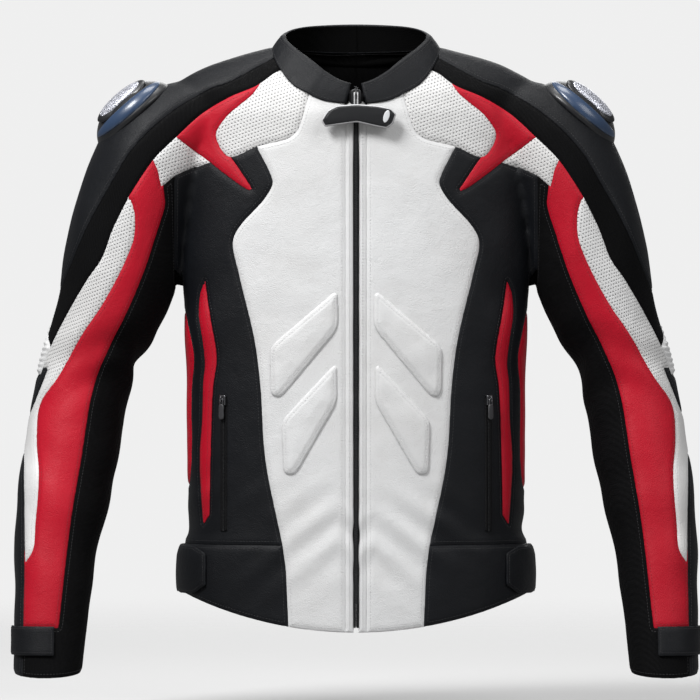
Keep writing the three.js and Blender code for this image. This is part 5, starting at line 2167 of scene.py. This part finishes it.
@dataclass
class PocketZips:
    """The two hand pocket zips, each along its red stripe.

    Attributes:
        across: The right zip's x.
        run: Heights of the zip's two ends.
        hinge: Where the left pull hangs.
        facing: The way the left slider faces, x and y.
    """

    across: float = -0.144
    run: tuple[float, float] = (-0.325, -0.474)
    hinge: tuple[float, float, float] = (0.146931, -0.07479, -0.328747)
    facing: tuple[float, float] = (0.581035, -0.813878)

    def build(self, find: Callable[[Array], tuple[Array, Array]]) -> None:
        """Build both zips on the front.

        Args:
            find: Puts points seen from the front on the surface.
        """
        for side, sign in SIDES.items():
            z = np.arange(self.run[0], self.run[1], -1.5 * MM)
            line = np.stack([np.full_like(z, -sign * self.across), z], 1)
            spots, ways = find(line)
            spots = np.stack([running_mean(column, 9) for column in spots.T], 1)
            ways = unit(np.stack([running_mean(column, 9) for column in ways.T], 1))
            along = unit(np.gradient(spots, axis=0))
            across = unit(np.cross(ways, along))
            draft = Draft()
            profile = [(-4.2, 0.1), (-3.8, 1.3), (-1.6, 1.5), (-1.2, 0.9), (1.2, 0.9), (1.6, 1.5),
                       (3.8, 1.3), (4.2, 0.1)]
            rows = np.stack([spots + across * (u * MM) + ways * (w * MM) for u, w in profile], 1)
            rows = np.concatenate([rows, rows[:, ::-1] - ways[:, None] * (1.6 * MM)], 1)
            draft.add(rows.reshape(-1, 3), tube_rows(rows, True))
            draft.cap(rows[0])
            draft.cap(rows[-1])
            for k in range(len(spots)):
                turn = Matrix((across[k], -ways[k], -along[k])).transposed().to_4x4()
                at = Matrix.Translation(Vector(spots[k] + ways[k] * 1.2 * MM)) @ turn
                block(draft, (2.0 * MM, 0.9 * MM, 0.8 * MM), at, 0.25 * MM, 1)
            piece = draft.build(f"pocket_zip_{side}", [FINISHES[Fabric.TAPE], FINISHES[Fabric.MOULDED]])
            settle(piece, Fabric.TAPE, "jacket", wrap=SLEEVE_WRAP)
            self.pull(side, sign)

    def pull(self, side: str, sign: float) -> None:
        """Build one slider and its hanging pull."""
        x, y, z = self.hinge
        way = Vector((sign * self.facing[0], self.facing[1], 0.0))
        turn = Matrix((Vector((0, 0, 1)).cross(way), -way, (0, 0, 1))).transposed().to_4x4()
        hang = Matrix.Translation((sign * x, y, z)) @ turn
        draft = Draft()
        block(draft, (8 * MM, 3.0 * MM, 11 * MM), hang @ Matrix.Translation((0, 2.7 * MM, -1 * MM)), 0.9 * MM)
        arch = np.array([(0, 1.6, 3.6), (0, -0.9, 2.9), (0, -1.9, 0.9), (0, -1.9, -0.7), (0, -0.8, -2.4),
                         (0, 1.6, -3.0)]) * MM
        rod(draft, placed(hang, arch), 0.6 * MM)
        node = f"pocket_slider_{side}"
        settle(draft.build(f"pocket_slide_{side}", [FINISHES[Fabric.METAL]]), Fabric.METAL, node, [node])
        tag = Draft()
        loop = np.array([(-1.8, 0, 0), (1.8, 0, 0), (1.8, 0, -6.6), (-1.8, 0, -6.6), (-1.8, 0, 0)]) * MM
        rod(tag, placed(hang, filled_path(loop, 4)), 0.6 * MM)
        shape = closed_curve([(-2.2, -6), (2.2, -6), (3.2, -13.5), (2.8, -20.5), (0, -22), (-2.8, -20.5),
                              (-3.2, -13.5)], 4)
        slab(tag, shape, -1.0 * MM, 0.9 * MM, 0.5 * MM, hang, 1)
        node = f"pocket_pull_{side}"
        settle(tag.build(f"pocket_tag_{side}", [FINISHES[Fabric.METAL], GREY_TAG]), Fabric.METAL, node,
               [node])


# ---------------------------------------------------------------- studio


@dataclass
class Studio:
    """A pale floor, soft lights and the camera.

    Attributes:
        floor_z: Height of the floor.
        reach: The floor's radius.
        ambient: Brightness of the light from all round.
        backdrop: Brightness behind the garment.
        distance: The camera's distance in front.
        centre: What the camera looks at.
        width: How much the picture shows across, at the garment.
    """

    floor_z: float = -0.68
    reach: float = 3.2
    ambient: float = 0.2
    backdrop: float = 0.865
    distance: float = 6.0
    centre: tuple[float, float, float] = (-0.0066, -0.02, -0.275)
    width: float = 0.770

    def light(self, name: str, at: tuple[float, float, float], size: float, power: float) -> None:
        """Add a soft square light aimed at the garment."""
        lamp = bpy.data.lights.new(name, "AREA")
        lamp.shape = "SQUARE"
        lamp.size = size
        lamp.energy = power
        piece = bpy.data.objects.new(name, lamp)
        piece.location = at
        piece.rotation_euler = (Vector(self.centre) - Vector(at)).to_track_quat("-Z", "Y").to_euler()
        bpy.context.scene.collection.objects.link(piece)

    def build(self) -> None:
        """Build floor, lights, world and camera."""
        draft = Draft()
        t = np.linspace(0, math.tau, 64, endpoint=False)
        ring = np.stack([self.reach * np.cos(t), self.reach * np.sin(t), np.full_like(t, self.floor_z)], 1)
        draft.add(ring, np.arange(len(t))[None])
        floor = draft.build("floor", [FadingFloor("pale_floor", (0.62, 0.62, 0.62), 0.9, reach=self.reach)])
        world = bpy.data.worlds.new("studio")
        bpy.context.scene.world = world
        world.use_nodes = True
        n = Nodes(world.node_tree)
        seen = n.add("ShaderNodeLightPath").outputs["Is Camera Ray"]
        tone = n.blend(seen, rgba((self.ambient,) * 3), rgba((self.backdrop,) * 3))
        n.tree.links.new(tone, world.node_tree.nodes["Background"].inputs[0])
        self.light("key", (-1.3, -1.5, 1.9), 0.9, 94)
        self.light("fill", (2.2, -2.2, 1.9), 1.8, 46)
        self.light("top", (0.0, 0.2, 2.6), 1.2, 44)
        self.light("rim", (0.4, 2.8, 1.2), 1.8, 26)
        camera = bpy.data.cameras.new("camera")
        camera.sensor_width = 36
        camera.lens = 36 * self.distance / self.width
        camera.clip_end = 100
        view = bpy.data.objects.new("camera", camera)
        x, y, z = self.centre
        view.location = (x, y - self.distance, z)
        view.rotation_euler = (math.pi / 2, 0, 0)
        bpy.context.scene.collection.objects.link(view)
        bpy.context.scene.camera = view
        bpy.context.scene.view_settings.view_transform = "Standard"


def main() -> None:
    """Build the jacket and its studio in order."""
    logging.basicConfig(level=logging.INFO, format="%(name)s: %(message)s")
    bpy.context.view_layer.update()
    form = Form()
    seams = Seams(form)
    bend = ElbowBend()
    cut = Shell(form, seams, bend).build()
    Lining(bend).build(cut["whole"])
    Collar(form).build()
    RibPads().build(cut["front"])
    ShoulderArmour().build()
    Straps().build(cut["whole"])
    MainZip().build()
    PocketZips().build(project(cut["whole"]))
    Studio().build()


if __name__ == "__main__":
    main()
